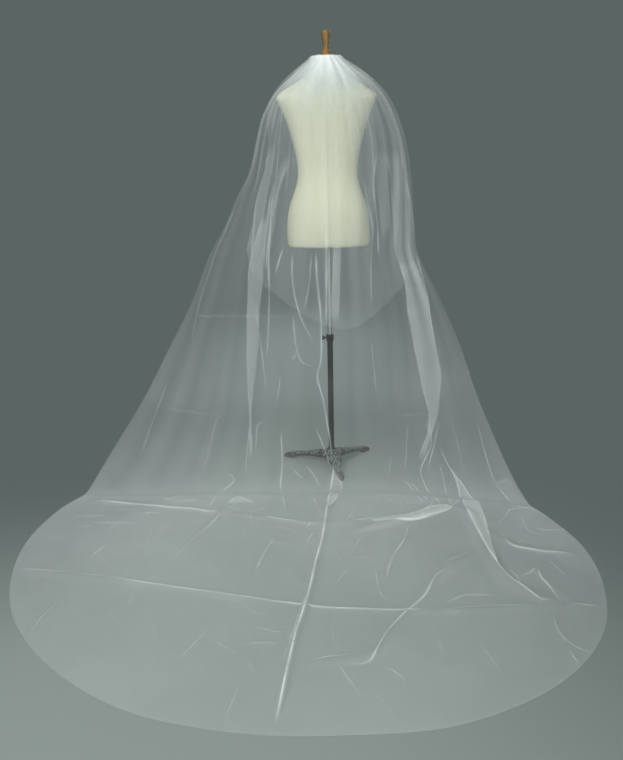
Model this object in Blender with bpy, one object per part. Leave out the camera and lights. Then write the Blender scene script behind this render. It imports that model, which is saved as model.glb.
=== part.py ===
"""Bridal veil of two tulle tiers, gathered round the neck of a limbless dress form on a tripod stand.

Metres, +Z up. +X is right and -Y is towards someone who looks at the veil's back, where the train lies.
The origin is on the floor, under the middle of the whole part. Everything is modelled about the pole,
and an empty at POLE carries it all.
"""
import math
from collections import namedtuple

import bmesh
import bpy
import numpy as np
from mathutils import geometry

POLE = (0.128, 0.713, 0.0)
SEAM = 0.0003

# Dress form
NECK_TOP = 1.536
NECK_RADIUS = 0.050
NECK_TOP_RADIUS = 0.047
FORM_SIDES = 32
FORM_UNDERSIDE = 0.872

# Stand
TUBE_RADIUS = 0.011
ROD_RADIUS = 0.0095
TUBE_BORE = ROD_RADIUS + SEAM
TUBE_TOP = 0.531
HUB_TOP = 0.064
ROD_BURIED = 0.09
COLLAR_RADIUS = 0.0145
COLLAR_HEIGHT = 0.026
KNOB_RADIUS = 0.009
KNOB_STEM = 0.0035
STEM_LENGTH = 0.006
KNOB_LENGTH = 0.011
KNOB_EDGE = 0.002
LEG_ANGLES = (-81.0, 39.0, 159.0)

# Gathered heading round the back half of the neck
HEADING_LOW = 1.507
HEADING_HIGH = 1.5375
HEADING_WALL = 0.0030
HEADING_RUFFLE = 0.0008
HEADING_WAVES = 13
HEADING_HALF_ANGLE = 98.0

# Cloth
GATHERED_WALL = 0.0012
NEAR_GATHERS_WALL = 0.0014
HANGING_WALL = 0.0018
LYING_WALL = 0.0020
TOP_RADIUS = NECK_RADIUS + SEAM + HEADING_WALL + HEADING_RUFFLE + SEAM + GATHERED_WALL / 2
SPLIT_RING = 12
COLUMN_STEPS = (0.0, 0.22, 0.5, 0.78)
SLOPE_STEP = 0.004
ROW_STEP = 0.05

# Long tier from the heading to the floor. Each row is one level of the hanging cloth: how far it reaches
# left and right, how far back its middle and its two sides lie, how far it turns round the form in
# degrees, how straight it hangs in plan from 0 to 1, and how deep its pleats are.
Ring = namedtuple("Ring", "height left right back left_side right_side turn straight depth")
FALL = (
    Ring(1.534, TOP_RADIUS, TOP_RADIUS, -TOP_RADIUS, 0.0, 0.0, 90, 0.0, 0.0040),
    Ring(1.524, 0.0575, 0.0575, -0.0575, 0.0, 0.0, 90, 0.0, 0.0045),
    Ring(1.508, 0.077, 0.080, -0.069, 0.0, 0.0, 92, 0.0, 0.0055),
    Ring(1.484, 0.108, 0.116, -0.084, 0.0, 0.0, 95, 0.0, 0.0065),
    Ring(1.452, 0.147, 0.157, -0.096, 0.0, 0.0, 98, 0.0, 0.0075),
    Ring(1.420, 0.180, 0.189, -0.104, 0.0, 0.0, 101, 0.0, 0.0085),
    Ring(1.385, 0.206, 0.213, -0.110, 0.0, 0.0, 103, 0.0, 0.0095),
    Ring(1.325, 0.235, 0.242, -0.115, 0.0, 0.0, 104, 0.0, 0.0110),
    Ring(1.245, 0.256, 0.266, -0.117, -0.010, -0.008, 104, 0.0, 0.0120),
    Ring(1.144, 0.284, 0.286, -0.118, -0.030, -0.020, 101, 0.05, 0.0130),
    Ring(1.050, 0.334, 0.298, -0.124, -0.055, -0.035, 97, 0.12, 0.0145),
    Ring(0.950, 0.385, 0.311, -0.131, -0.080, -0.055, 93, 0.22, 0.0160),
    Ring(0.850, 0.442, 0.325, -0.139, -0.108, -0.085, 90, 0.33, 0.0180),
    Ring(0.700, 0.505, 0.396, -0.158, -0.140, -0.140, 90, 0.50, 0.0210),
    Ring(0.530, 0.597, 0.466, -0.182, -0.175, -0.205, 90, 0.70, 0.0230),
    Ring(0.350, 0.696, 0.523, -0.207, -0.210, -0.280, 90, 0.90, 0.0230),
    Ring(0.180, 0.808, 0.590, -0.236, -0.243, -0.345, 90, 1.0, 0.0190),
    Ring(0.080, 0.874, 0.634, -0.258, -0.262, -0.395, 90, 1.0, 0.0130),
    Ring(0.030, 0.906, 0.661, -0.274, -0.272, -0.430, 90, 1.0, 0.0070),
    Ring(0.008, 0.922, 0.675, -0.292, -0.279, -0.452, 90, 1.0, 0.0020),
    Ring(LYING_WALL / 2, 0.931, 0.684, -0.320, -0.292, -0.472, 90, 1.0, 0.0),
)

# Pleats of the long tier from its left edge to its right edge: share of the width, share of the depth
Pleat = namedtuple("Pleat", "width depth")
LONG_PLEATS = (
    Pleat(0.17, 0.55), Pleat(0.13, 0.80), Pleat(0.12, 0.60), Pleat(0.08, 0.45), Pleat(0.15, 1.00),
    Pleat(0.12, 0.70), Pleat(0.15, 0.90), Pleat(0.11, 0.75), Pleat(0.13, 1.00), Pleat(0.14, 0.70),
    Pleat(0.12, 0.85), Pleat(0.13, 0.65), Pleat(0.20, 1.00), Pleat(0.12, 0.75), Pleat(0.13, 0.60),
)
SHORT_PLEATS = (
    Pleat(0.18, 0.60), Pleat(0.15, 0.90), Pleat(0.19, 0.70), Pleat(0.14, 1.00), Pleat(0.17, 0.75),
    Pleat(0.16, 0.60), Pleat(0.18, 0.95), Pleat(0.15, 0.80), Pleat(0.19, 0.65), Pleat(0.15, 1.00),
    Pleat(0.18, 0.75), Pleat(0.16, 0.60),
)

# Short tier: how far round its two edges lie at a height, in degrees from the middle of the back
TierEdge = namedtuple("TierEdge", "height left right")
TIER_EDGES = (
    TierEdge(1.534, -84, 86), TierEdge(1.420, -74, 88), TierEdge(1.325, -61, 90), TierEdge(1.245, -52, 90),
    TierEdge(1.100, -53, 87), TierEdge(0.950, -50, 82), TierEdge(0.850, -49, 76), TierEdge(0.590, -46, 70),
)

# Short tier's hem from its left corner, -1, to its right corner, 1
HemPoint = namedtuple("HemPoint", "across height")
TIER_HEM = (
    HemPoint(-1.0, 0.870), HemPoint(-0.93, 0.797), HemPoint(-0.78, 0.742), HemPoint(-0.50, 0.661),
    HemPoint(-0.25, 0.601), HemPoint(0.0, 0.589), HemPoint(0.25, 0.635), HemPoint(0.50, 0.700),
    HemPoint(0.75, 0.766), HemPoint(0.92, 0.812), HemPoint(1.0, 0.840),
)
SHARED_RINGS = 8
SHORT_RINGS = 13
SHORT_DEPTH = 0.75
TIER_GAP = 0.0018

# Train's edge from the left landing corner round the front to the right landing corner
FloorPoint = namedtuple("FloorPoint", "x y")
TRAIN_EDGE = (
    FloorPoint(-0.931, -0.292), FloorPoint(-0.985, -0.420), FloorPoint(-1.014, -0.640),
    FloorPoint(-0.982, -0.870), FloorPoint(-0.894, -1.095), FloorPoint(-0.735, -1.303),
    FloorPoint(-0.515, -1.470), FloorPoint(-0.265, -1.550), FloorPoint(-0.020, -1.566),
    FloorPoint(0.230, -1.541), FloorPoint(0.475, -1.418), FloorPoint(0.650, -1.225),
    FloorPoint(0.738, -0.990), FloorPoint(0.759, -0.770), FloorPoint(0.722, -0.580),
    FloorPoint(0.684, -0.472),
)
EDGE_STEPS = 4
TRAIN_SPACING = 0.100
POINT_CLEARANCE = 0.016

# Folds of the train: crest points on the floor, height and half width
Ridge = namedtuple("Ridge", "points height half_width")
RIDGES = (
    Ridge(
        ((-0.010, -0.360), (-0.048, -0.637), (-0.095, -1.014), (-0.124, -1.180), (-0.165, -1.50)),
        0.013,
        0.022,
    ),
    Ridge(
        ((0.420, -0.470), (0.455, -0.540), (0.452, -0.769), (0.474, -0.978), (0.560, -1.072)),
        0.020,
        0.036,
    ),
    Ridge(((0.400, -0.450), (0.300, -0.535), (0.185, -0.580), (0.057, -0.628)), 0.013, 0.028),
    Ridge(
        ((-0.887, -0.35), (-0.677, -0.389), (-0.405, -0.469), (-0.108, -0.563), (0.100, -0.586)),
        0.006,
        0.018,
    ),
    Ridge(
        ((-0.987, -0.838), (-0.564, -0.942), (-0.156, -1.06), (0.170, -1.109), (0.689, -1.098)),
        0.006,
        0.018,
    ),
    Ridge(((-0.330, -0.400), (-0.398, -0.485), (-0.440, -0.620), (-0.483, -0.773)), 0.010, 0.026),
    Ridge(
        ((0.425, -0.784), (0.268, -0.953), (0.147, -1.146), (0.068, -1.293), (-0.090, -1.325)),
        0.009,
        0.024,
    ),
    Ridge(((0.237, -0.585), (0.218, -0.685), (0.157, -0.832), (0.123, -0.964)), 0.007, 0.022),
    Ridge(((0.495, -0.662), (0.552, -0.760), (0.653, -0.803), (0.718, -0.819)), 0.008, 0.022),
    Ridge(((0.510, -0.941), (0.567, -0.903), (0.590, -1.000), (0.640, -1.130)), 0.007, 0.020),
    Ridge(((-0.204, -0.645), (-0.254, -0.895)), 0.006, 0.020),
    Ridge(((-0.735, -0.524), (-0.776, -0.792)), 0.006, 0.022),
    Ridge(((-0.789, -1.018), (-0.819, -1.196)), 0.006, 0.020),
    Ridge(((0.540, -1.130), (0.545, -1.340)), 0.006, 0.020),
)
RIDGE_STEP = 0.075
RIDGE_END = 0.10
EDGE_FADE = 0.045

# Torso from its underside to the neck: half width, reach to the front and to the back, and how square it is
Section = namedtuple("Section", "height half_width front back squareness")
TORSO = (
    Section(FORM_UNDERSIDE, 0.149, 0.090, 0.098, 2.2), Section(0.880, 0.156, 0.097, 0.105, 2.2),
    Section(0.935, 0.157, 0.100, 0.110, 2.2), Section(0.985, 0.153, 0.100, 0.110, 2.2),
    Section(1.028, 0.144, 0.097, 0.102, 2.2), Section(1.075, 0.124, 0.090, 0.086, 2.2),
    Section(1.120, 0.1095, 0.084, 0.073, 2.2), Section(1.170, 0.111, 0.086, 0.071, 2.2),
    Section(1.225, 0.121, 0.096, 0.075, 2.2), Section(1.275, 0.134, 0.110, 0.081, 2.1),
    Section(1.325, 0.150, 0.114, 0.087, 2.1), Section(1.362, 0.166, 0.106, 0.091, 2.0),
    Section(1.386, 0.178, 0.094, 0.090, 2.0), Section(1.403, 0.186, 0.080, 0.086, 1.9),
    Section(1.419, 0.170, 0.068, 0.079, 1.8), Section(1.438, 0.138, 0.059, 0.071, 1.8),
    Section(1.457, 0.102, 0.053, 0.062, 1.9), Section(1.474, 0.070, 0.050, 0.055, 2.0),
    Section(1.492, 0.0535, NECK_RADIUS, 0.0515, 2.0),
    Section(1.504, NECK_RADIUS, NECK_RADIUS, NECK_RADIUS, 2.0),
    Section(1.533, NECK_RADIUS, NECK_RADIUS, NECK_RADIUS, 2.0),
    Section(NECK_TOP, NECK_TOP_RADIUS, NECK_TOP_RADIUS, NECK_TOP_RADIUS, 2.0),
)

# Turned outlines, top to bottom: radius and height
Turn = namedtuple("Turn", "radius height")
FINIAL = (
    Turn(0.0, 0.0885), Turn(0.0105, 0.0880), Turn(0.0150, 0.0855), Turn(0.0168, 0.0800),
    Turn(0.0160, 0.0690), Turn(0.0132, 0.0520), Turn(0.0110, 0.0370), Turn(0.0103, 0.0290),
    Turn(0.0112, 0.0255), Turn(0.0148, 0.0220), Turn(0.0168, 0.0155), Turn(0.0162, 0.0080),
    Turn(0.0140, 0.0030), Turn(0.0132, 0.0), Turn(0.0, 0.0),
)
HUB = (
    Turn(0.0, HUB_TOP), Turn(0.0150, HUB_TOP), Turn(0.0180, 0.0600), Turn(0.0185, 0.0560),
    Turn(0.0230, 0.0525), Turn(0.0310, 0.0490), Turn(0.0345, 0.0420), Turn(0.0330, 0.0240),
    Turn(0.0260, 0.0180), Turn(0.0, 0.0180),
)
# One leg of the base, outwards from the hub: half width, underside and top
LegSection = namedtuple("LegSection", "reach half_width low high")
LEG = (
    LegSection(0.004, 0.022, 0.024, 0.049), LegSection(0.030, 0.038, 0.022, 0.048),
    LegSection(0.055, 0.033, 0.020, 0.046), LegSection(0.082, 0.024, 0.018, 0.041),
    LegSection(0.112, 0.017, 0.014, 0.034), LegSection(0.142, 0.0145, 0.009, 0.030),
    LegSection(0.166, 0.0165, 0.0, 0.026), LegSection(0.190, 0.0150, 0.0, 0.020),
    LegSection(0.208, 0.008, 0.0, 0.012),
)

# Colour, roughness, metallic value and how solid it looks
Finish = namedtuple("Finish", "colour roughness metallic alpha")
TULLE = Finish((0.80, 0.84, 0.83), 0.6, 0.0, 0.35)
COVER = Finish((0.76, 0.74, 0.62), 0.85, 0.0, 1.0)
WOOD = Finish((0.42, 0.25, 0.10), 0.45, 0.0, 1.0)
STEEL = Finish((0.55, 0.57, 0.57), 0.35, 1.0, 1.0)
BLACK_PAINT = Finish((0.03, 0.035, 0.035), 0.4, 0.0, 1.0)
CAST_IRON = Finish((0.06, 0.065, 0.065), 0.55, 0.6, 1.0)


def between(rows, place):
    """The values of a table at a fractional row number, on a smooth curve through its rows."""
    last = len(rows) - 1
    first = min(max(int(place), 0), last - 1)
    share = place - first
    a, b, c, d = (np.array(rows[min(max(first + step, 0), last)], float) for step in (-1, 0, 1, 2))
    curve = 2 * b + (c - a) * share + (2 * a - 5 * b + 4 * c - d) * share ** 2
    return (curve + (3 * b - a - 3 * c + d) * share ** 3) / 2


def wave(pleats, across):
    """How far out a row of pleats stands, 0 to 1, at a place across the cloth from -1 to 1."""
    total = sum(pleat.width for pleat in pleats)
    left = (across + 1) / 2 * total
    for pleat in pleats:
        if left <= pleat.width:
            return pleat.depth * (0.5 - 0.5 * math.cos(2 * math.pi * left / pleat.width))
        left -= pleat.width
    return 0.0


def columns(pleats):
    """Places across the cloth, -1 to 1, at each pleat's edge, sides and crest."""
    total = sum(pleat.width for pleat in pleats)
    places = []
    start = 0.0
    for pleat in pleats:
        places += [2 * (start + pleat.width * step) / total - 1 for step in COLUMN_STEPS]
        start += pleat.width
    return places + [1.0]


def fall_point(ring, across):
    """A point of the long tier without its pleats, at a ring of FALL and a place across from -1 to 1."""
    angle = math.radians(ring.turn) * across
    reach = ring.left if across < 0 else ring.right
    side = ring.left_side if across < 0 else ring.right_side
    x = reach * ((1 - ring.straight) * math.sin(angle) + ring.straight * across)
    return np.array((x, side - (side - ring.back) * math.cos(angle), ring.height))


def fall_outward(ring, across):
    """The level direction out of the long tier at a place across it."""
    along = fall_point(ring, across + SLOPE_STEP) - fall_point(ring, across - SLOPE_STEP)
    return np.array((along[1], -along[0], 0.0)) / math.hypot(along[0], along[1])


def fall_normal(place, across):
    """The direction straight out of the unpleated long tier, at a row number of FALL."""
    down = fall_point(Ring(*between(FALL, place + ROW_STEP)), across)
    up = fall_point(Ring(*between(FALL, max(place - ROW_STEP, 0.0))), across)
    ring = Ring(*between(FALL, place))
    along = fall_point(ring, across + SLOPE_STEP) - fall_point(ring, across - SLOPE_STEP)
    normal = np.cross(down - up, along)
    return normal / np.linalg.norm(normal)


def long_tier_point(place, across):
    """The middle of the long tier's wall, with its pleats."""
    ring = Ring(*between(FALL, place))
    return fall_point(ring, across) + fall_outward(ring, across) * ring.depth * wave(LONG_PLEATS, across)


def row_of_height(height):
    """The row number of FALL, with its fraction, at a height."""
    low, high = 0.0, len(FALL) - 1.0
    for _ in range(30):
        middle = (low + high) / 2
        if between(FALL, middle)[0] > height:
            low = middle
        else:
            high = middle
    return (low + high) / 2


def short_tier_point(number, across):
    """The middle of the short tier's wall, outside the long one, at one of its rings.

    Its upper rings lie over the long tier's own, and the others share out the way down to the hem.
    """
    hem = np.interp(across, [p.across for p in TIER_HEM], [p.height for p in TIER_HEM])
    lower = max(number - SHARED_RINGS, 0) / (SHORT_RINGS - SHARED_RINGS)
    place = min(number, SHARED_RINGS) + (row_of_height(hem) - SHARED_RINGS) * lower
    ring = Ring(*between(FALL, place))
    heights = [-edge.height for edge in TIER_EDGES]
    left = np.interp(-ring.height, heights, [edge.left for edge in TIER_EDGES]) / ring.turn
    right = np.interp(-ring.height, heights, [edge.right for edge in TIER_EDGES]) / ring.turn
    spot = left + (right - left) * (across + 1) / 2
    clear = ring.depth + GATHERED_WALL + SEAM
    if number:
        clear += TIER_GAP
    base = fall_point(ring, spot) + fall_normal(place, spot) * clear
    return base + fall_outward(ring, spot) * ring.depth * SHORT_DEPTH * wave(SHORT_PLEATS, across)


def wall_between(name, grid, walls, finish):
    """A closed wall about a grid of points, rows from top to bottom and left to right, as one object."""
    rows, count = grid.shape[:2]
    down = np.gradient(grid, axis=0)
    along = np.gradient(grid, axis=1)
    normals = np.cross(down, along)
    normals /= np.linalg.norm(normals, axis=2, keepdims=True)
    normals[grid[..., 2] < LYING_WALL] = (0.0, 0.0, 1.0)
    half = np.array(walls)[:, None, None] / 2
    outer = grid + normals * half
    inner = grid - normals * half
    outer[..., 2] = np.maximum(outer[..., 2], 0.0)
    inner[..., 2] = np.maximum(inner[..., 2], 0.0)
    points = np.concatenate([outer.reshape(-1, 3), inner.reshape(-1, 3)])
    back = rows * count
    faces = []
    for i in range(rows - 1):
        for j in range(count - 1):
            a, b = i * count + j, (i + 1) * count + j
            c, d = b + 1, a + 1
            faces += [(a, b, c), (a, c, d), (back + a, back + c, back + b), (back + a, back + d, back + c)]
    edge = [i * count for i in range(rows)] + [(rows - 1) * count + j for j in range(1, count)]
    edge += [i * count + count - 1 for i in range(rows - 2, -1, -1)] + [j for j in range(count - 2, 0, -1)]
    for a, b in zip(edge, edge[1:] + edge[:1]):
        faces += [(b, a, back + a), (b, back + a, back + b)]
    return make_object(name, points, faces, finish)


def make_object(name, points, faces, finish):
    """One named object from points and faces, with its own material, its faces pointing out."""
    mesh = bpy.data.meshes.new(name)
    mesh.from_pydata([tuple(float(value) for value in point) for point in points], [], faces)
    model = bmesh.new()
    model.from_mesh(mesh)
    bmesh.ops.recalc_face_normals(model, faces=model.faces)
    model.to_mesh(mesh)
    model.free()
    mesh.shade_smooth()
    mesh.set_sharp_from_angle(angle=math.radians(40))
    item = bpy.data.objects.new(name, mesh)
    bpy.context.scene.collection.objects.link(item)
    mesh.materials.append(make_material(name, finish))
    return item


def make_material(name, finish):
    """A Principled material with a part's colour, roughness and metallic value."""
    material = bpy.data.materials.new(name)
    material.use_nodes = True
    shader = material.node_tree.nodes["Principled BSDF"]
    shader.inputs["Base Color"].default_value = (*finish.colour, 1.0)
    shader.inputs["Roughness"].default_value = finish.roughness
    shader.inputs["Metallic"].default_value = finish.metallic
    shader.inputs["Alpha"].default_value = finish.alpha
    return material


def loft(name, rings, finish):
    """A closed body through level rings of equal count, with its two ends capped."""
    sides = len(rings[0])
    points = [point for ring in rings for point in ring]
    faces = []
    for i in range(len(rings) - 1):
        for j in range(sides):
            a, b = i * sides + j, i * sides + (j + 1) % sides
            faces.append((a, b, b + sides, a + sides))
    faces.append(tuple(range(sides))[::-1])
    faces.append(tuple(range((len(rings) - 1) * sides, len(rings) * sides)))
    return make_object(name, points, faces, finish)


def turned(name, outline, sides, finish, centre=(0.0, 0.0, 0.0)):
    """A solid of revolution about a vertical line, from its outline on the axis at both ends."""
    rings = outline[1:-1]
    angles = [2 * math.pi * k / sides for k in range(sides)]
    points = []
    for turn in rings:
        points += [(turn.radius * math.cos(a), turn.radius * math.sin(a), turn.height) for a in angles]
    faces = []
    for i in range(len(rings) - 1):
        for j in range(sides):
            a, b = i * sides + j, i * sides + (j + 1) % sides
            faces.append((a, a + sides, b + sides, b))
    faces.append(tuple(range(sides)))
    faces.append(tuple(range((len(rings) - 1) * sides, len(rings) * sides))[::-1])
    item = make_object(name, points, faces, finish)
    item.location = centre
    return item


def oval(section):
    """A level ring of the torso."""
    ring = []
    for k in range(FORM_SIDES):
        angle = 2 * math.pi * k / FORM_SIDES
        c, s = math.cos(angle), math.sin(angle)
        power = 2 / section.squareness
        depth = section.front if s > 0 else section.back
        x = section.half_width * math.copysign(abs(c) ** power, c)
        ring.append((x, depth * math.copysign(abs(s) ** power, s), section.height))
    return ring


def dress_form():
    """The limbless torso."""
    return [loft("dress_form", [oval(section) for section in TORSO], COVER)]


def finial():
    """The turned wooden knob on the neck."""
    return [turned("finial", FINIAL, 24, WOOD, (0.0, 0.0, NECK_TOP + SEAM))]


def tube(name, inner, outer, low, high, sides, finish):
    """An upright tube, open at both ends."""
    angles = [2 * math.pi * k / sides for k in range(sides)]
    corners = ((outer, low), (outer, high), (inner, high), (inner, low))
    points = []
    for radius, height in corners:
        points += [(radius * math.cos(a), radius * math.sin(a), height) for a in angles]
    faces = []
    for i in range(4):
        for j in range(sides):
            a, b = i * sides + j, i * sides + (j + 1) % sides
            c, d = (i + 1) % 4 * sides + (j + 1) % sides, (i + 1) % 4 * sides + j
            faces.append((a, b, c, d))
    return make_object(name, points, faces, finish)


def pole():
    """The rod that carries the torso, the tube that it slides in and the clamp at the tube's top."""
    bottom, top = TUBE_TOP - ROD_BURIED, FORM_UNDERSIDE - SEAM
    rod = turned(
        "upper_rod",
        (Turn(0, top), Turn(ROD_RADIUS, top), Turn(ROD_RADIUS, bottom), Turn(0, bottom)),
        16,
        STEEL,
    )
    outer = tube("outer_tube", TUBE_BORE, TUBE_RADIUS, HUB_TOP + SEAM, TUBE_TOP, 16, BLACK_PAINT)
    collar = tube(
        "tube_collar",
        TUBE_RADIUS + SEAM,
        COLLAR_RADIUS,
        TUBE_TOP - COLLAR_HEIGHT,
        TUBE_TOP,
        16,
        BLACK_PAINT,
    )
    start = COLLAR_RADIUS + SEAM
    head = start + STEM_LENGTH
    end = head + KNOB_LENGTH
    outline = (
        Turn(0, end),
        Turn(KNOB_RADIUS - KNOB_EDGE, end),
        Turn(KNOB_RADIUS, end - KNOB_EDGE),
        Turn(KNOB_RADIUS, head + KNOB_EDGE),
        Turn(KNOB_STEM, head),
        Turn(KNOB_STEM, start),
        Turn(0, start),
    )
    knob = turned("collar_knob", outline, 14, BLACK_PAINT, (0.0, 0.0, TUBE_TOP - COLLAR_HEIGHT / 2))
    knob.rotation_euler = (0.0, -math.pi / 2, 0.0)
    return [rod, outer, collar, knob]


def leg_ring(section, angle):
    """An eight-sided upright section of a leg, flat below, at its reach from the hub."""
    right = ((0.75, 0.0), (1.0, 0.3), (0.85, 0.75), (0.35, 1.0))
    corners = right + tuple((-side, rise) for side, rise in right[::-1])
    c, s = math.cos(angle), math.sin(angle)
    ring = []
    for side, rise in corners:
        y = side * section.half_width
        z = section.low + (section.high - section.low) * rise
        ring.append((section.reach * c - y * s, section.reach * s + y * c, z))
    return ring


def tripod_base():
    """The cast base: a turned hub and three legs joined into one casting."""
    base = turned("tripod_base", HUB, 24, CAST_IRON)
    for number, degrees in enumerate(LEG_ANGLES):
        angle = math.radians(degrees)
        leg = loft(f"leg_{number}", [leg_ring(section, angle) for section in LEG], CAST_IRON)
        leg.hide_render = True
        leg.display_type = "WIRE"
        join = base.modifiers.new(f"leg_{number}", "BOOLEAN")
        join.operation = "UNION"
        join.object = leg
        leg.parent = base
    return [base]


def gathered_heading():
    """The ruched band round the back half of the neck, with a wavy outside and upper edge."""
    steps = HEADING_WAVES * 4
    inner_radius = NECK_RADIUS + SEAM
    points = []
    for k in range(steps + 1):
        degrees = -HEADING_HALF_ANGLE + 2 * HEADING_HALF_ANGLE * k / steps
        angle = math.radians(degrees - 90)
        ripple = math.sin(math.pi * k / 2)
        outer_radius = inner_radius + HEADING_WALL + HEADING_RUFFLE * ripple
        top = HEADING_HIGH + HEADING_RUFFLE * ripple
        corners = (
            (inner_radius, HEADING_LOW),
            (outer_radius, HEADING_LOW),
            (outer_radius, top),
            (inner_radius, top),
        )
        points += [(radius * math.cos(angle), radius * math.sin(angle), z) for radius, z in corners]
    faces = []
    for k in range(steps):
        for side in range(4):
            a, b = 4 * k + side, 4 * k + (side + 1) % 4
            faces += [(a, b, b + 4), (a, b + 4, a + 4)]
    faces += [(3, 2, 1, 0), tuple(4 * steps + side for side in range(4))]
    return [make_object("gathered_heading", points, faces, TULLE)]


def long_tier_fall():
    """The hanging part of the long tier, in an upper and a lower stretch."""
    across = columns(LONG_PLEATS)
    grid = np.array([[long_tier_point(i, u) for u in across] for i in range(len(FALL))])
    thickness = (GATHERED_WALL, NEAR_GATHERS_WALL, HANGING_WALL, LYING_WALL)
    walls = np.interp(range(len(FALL)), (0, 3, 9, len(FALL) - 1), thickness)
    upper = grid[: SPLIT_RING + 1].copy()
    lower = grid[SPLIT_RING:].copy()
    step = upper[-1] - upper[-2]
    upper[-1] -= step * SEAM / np.linalg.norm(step, axis=1, keepdims=True)
    return [
        wall_between("long_tier_upper", upper, walls[: SPLIT_RING + 1], TULLE),
        wall_between("long_tier_lower", lower, walls[SPLIT_RING:], TULLE),
    ]


def short_tier():
    """The upper tier, with its rounded hem."""
    across = columns(SHORT_PLEATS)
    grid = np.array([[short_tier_point(i, u) for u in across] for i in range(SHORT_RINGS + 1)])
    thickness = (GATHERED_WALL, NEAR_GATHERS_WALL, HANGING_WALL)
    walls = np.interp(range(SHORT_RINGS + 1), (0, 3, SHORT_RINGS), thickness)
    return [wall_between("short_tier", grid, walls, TULLE)]


def landing_point(across):
    """Where the long tier meets the floor, a seam's gap beyond the hanging cloth."""
    point = fall_point(FALL[-1], across)
    return point[0], point[1] - SEAM


def distance_along(point, points):
    """The distance from a point to a run of straight stretches, and how far along the run it is nearest."""
    best, along, done = 1e9, 0.0, 0.0
    for start, end in zip(points, points[1:]):
        run = (end[0] - start[0], end[1] - start[1])
        length = math.hypot(*run)
        share = ((point[0] - start[0]) * run[0] + (point[1] - start[1]) * run[1]) / length ** 2
        share = min(max(share, 0.0), 1.0)
        gap = math.hypot(point[0] - start[0] - share * run[0], point[1] - start[1] - share * run[1])
        if gap < best:
            best, along = gap, done + share * length
        done += length
    return best, along, done


def train_height(point, edge):
    """The top of the train at a point on the floor. Folds sink towards their ends and at the cloth's edge."""
    rise = 0.0
    for ridge in RIDGES:
        gap, along, length = distance_along(point, ridge.points)
        if gap < ridge.half_width:
            end = min(along, length - along) / RIDGE_END
            shape = 0.5 + 0.5 * math.cos(math.pi * gap / ridge.half_width)
            rise = max(rise, ridge.height * shape * (0.35 + 0.65 * min(end, 1.0)))
    fade = min(distance_along(point, edge)[0] / EDGE_FADE, 1.0)
    return LYING_WALL + rise * fade


def ridge_points(ridge):
    """Points of the train's surface along a fold: its crest, its shoulders and its feet."""
    lengths = [0.0]
    for start, end in zip(ridge.points, ridge.points[1:]):
        lengths.append(lengths[-1] + math.dist(start, end))
    steps = max(round(lengths[-1] / RIDGE_STEP), 2)
    found = []
    for k in range(steps + 1):
        place = np.interp(lengths[-1] * k / steps, lengths, range(len(lengths)))
        here = between(ridge.points, place)
        ahead = between(ridge.points, min(place + 0.05, len(lengths) - 1))
        behind = between(ridge.points, max(place - 0.05, 0.0))
        run = (ahead - behind) / np.linalg.norm(ahead - behind)
        side = np.array((-run[1], run[0])) * ridge.half_width
        found += [tuple(here + side * share) for share in (0.0, 0.5, -0.5, 1.05, -1.05)]
    return found


def inside(point, outline):
    """True if a floor point lies within a closed outline."""
    crossings = 0
    for a, b in zip(outline, outline[1:] + outline[:1]):
        if (a[1] > point[1]) != (b[1] > point[1]):
            crossings += point[0] < a[0] + (point[1] - a[1]) / (b[1] - a[1]) * (b[0] - a[0])
    return crossings % 2 == 1


def long_tier_train():
    """The part of the long tier that lies on the floor: folds above, flat below."""
    count = EDGE_STEPS * (len(TRAIN_EDGE) - 1)
    hem = [tuple(between(TRAIN_EDGE, k / EDGE_STEPS)) for k in range(count + 1)]
    hem[0], hem[-1] = landing_point(-1.0), landing_point(1.0)
    landing = [landing_point(u) for u in columns(LONG_PLEATS)[-2:0:-2]]
    outline = hem + landing
    closed = outline + outline[:1]
    wanted = [point for ridge in RIDGES for point in ridge_points(ridge)]
    wide = TRAIN_SPACING
    for i in range(-11, 9):
        for j in range(2, 19):
            wanted.append((wide * (i + 0.5 * (j % 2)), -wide * 0.866 * j))
    kept = []
    for point in wanted:
        if inside(point, outline) and distance_along(point, closed)[0] > POINT_CLEARANCE:
            if all(math.dist(point, other) > POINT_CLEARANCE for other in kept):
                kept.append(point)
    ring = list(range(len(outline)))
    flat, _, faces, *_ = geometry.delaunay_2d_cdt(outline + kept, [], [ring], 1, 1e-6)
    under, _, under_faces, *_ = geometry.delaunay_2d_cdt(outline, [], [ring], 1, 1e-6)
    points = [(p[0], p[1], train_height(p, closed)) for p in flat] + [(p[0], p[1], 0.0) for p in under]
    first = len(flat)
    solid = [tuple(face) for face in faces] + [tuple(first + k for k in face[::-1]) for face in under_faces]
    for a, b in zip(ring, ring[1:] + ring[:1]):
        solid += [(b, a, first + a), (b, first + a, first + b)]
    return [make_object("long_tier_train", points, solid, TULLE)]


def main():
    """Builds every piece about the pole and hangs it on the empty at POLE."""
    for item in list(bpy.data.objects):
        bpy.data.objects.remove(item)
    stand = bpy.data.objects.new("pole_axis", None)
    bpy.context.scene.collection.objects.link(stand)
    stand.location = POLE
    pieces = dress_form() + finial() + pole() + tripod_base() + gathered_heading()
    pieces += long_tier_fall() + long_tier_train() + short_tier()
    for piece in pieces:
        piece.parent = stand


main()
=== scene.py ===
"""Bridal veil of two tulle tiers on a dress form: its looks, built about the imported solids.

Metres, +Z up. +X is right and -Y is towards someone who looks at the veil's back. Sizes of the drape are
given about the pole, as they are in the part, and are moved to the pole's place when a piece is made.
"""
import logging
import math
from dataclasses import dataclass, field
from enum import Enum
from typing import Callable, Iterable, NamedTuple, Sequence, Union

import bmesh
import bpy
import numpy as np
from mathutils import Matrix, Vector, geometry


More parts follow.
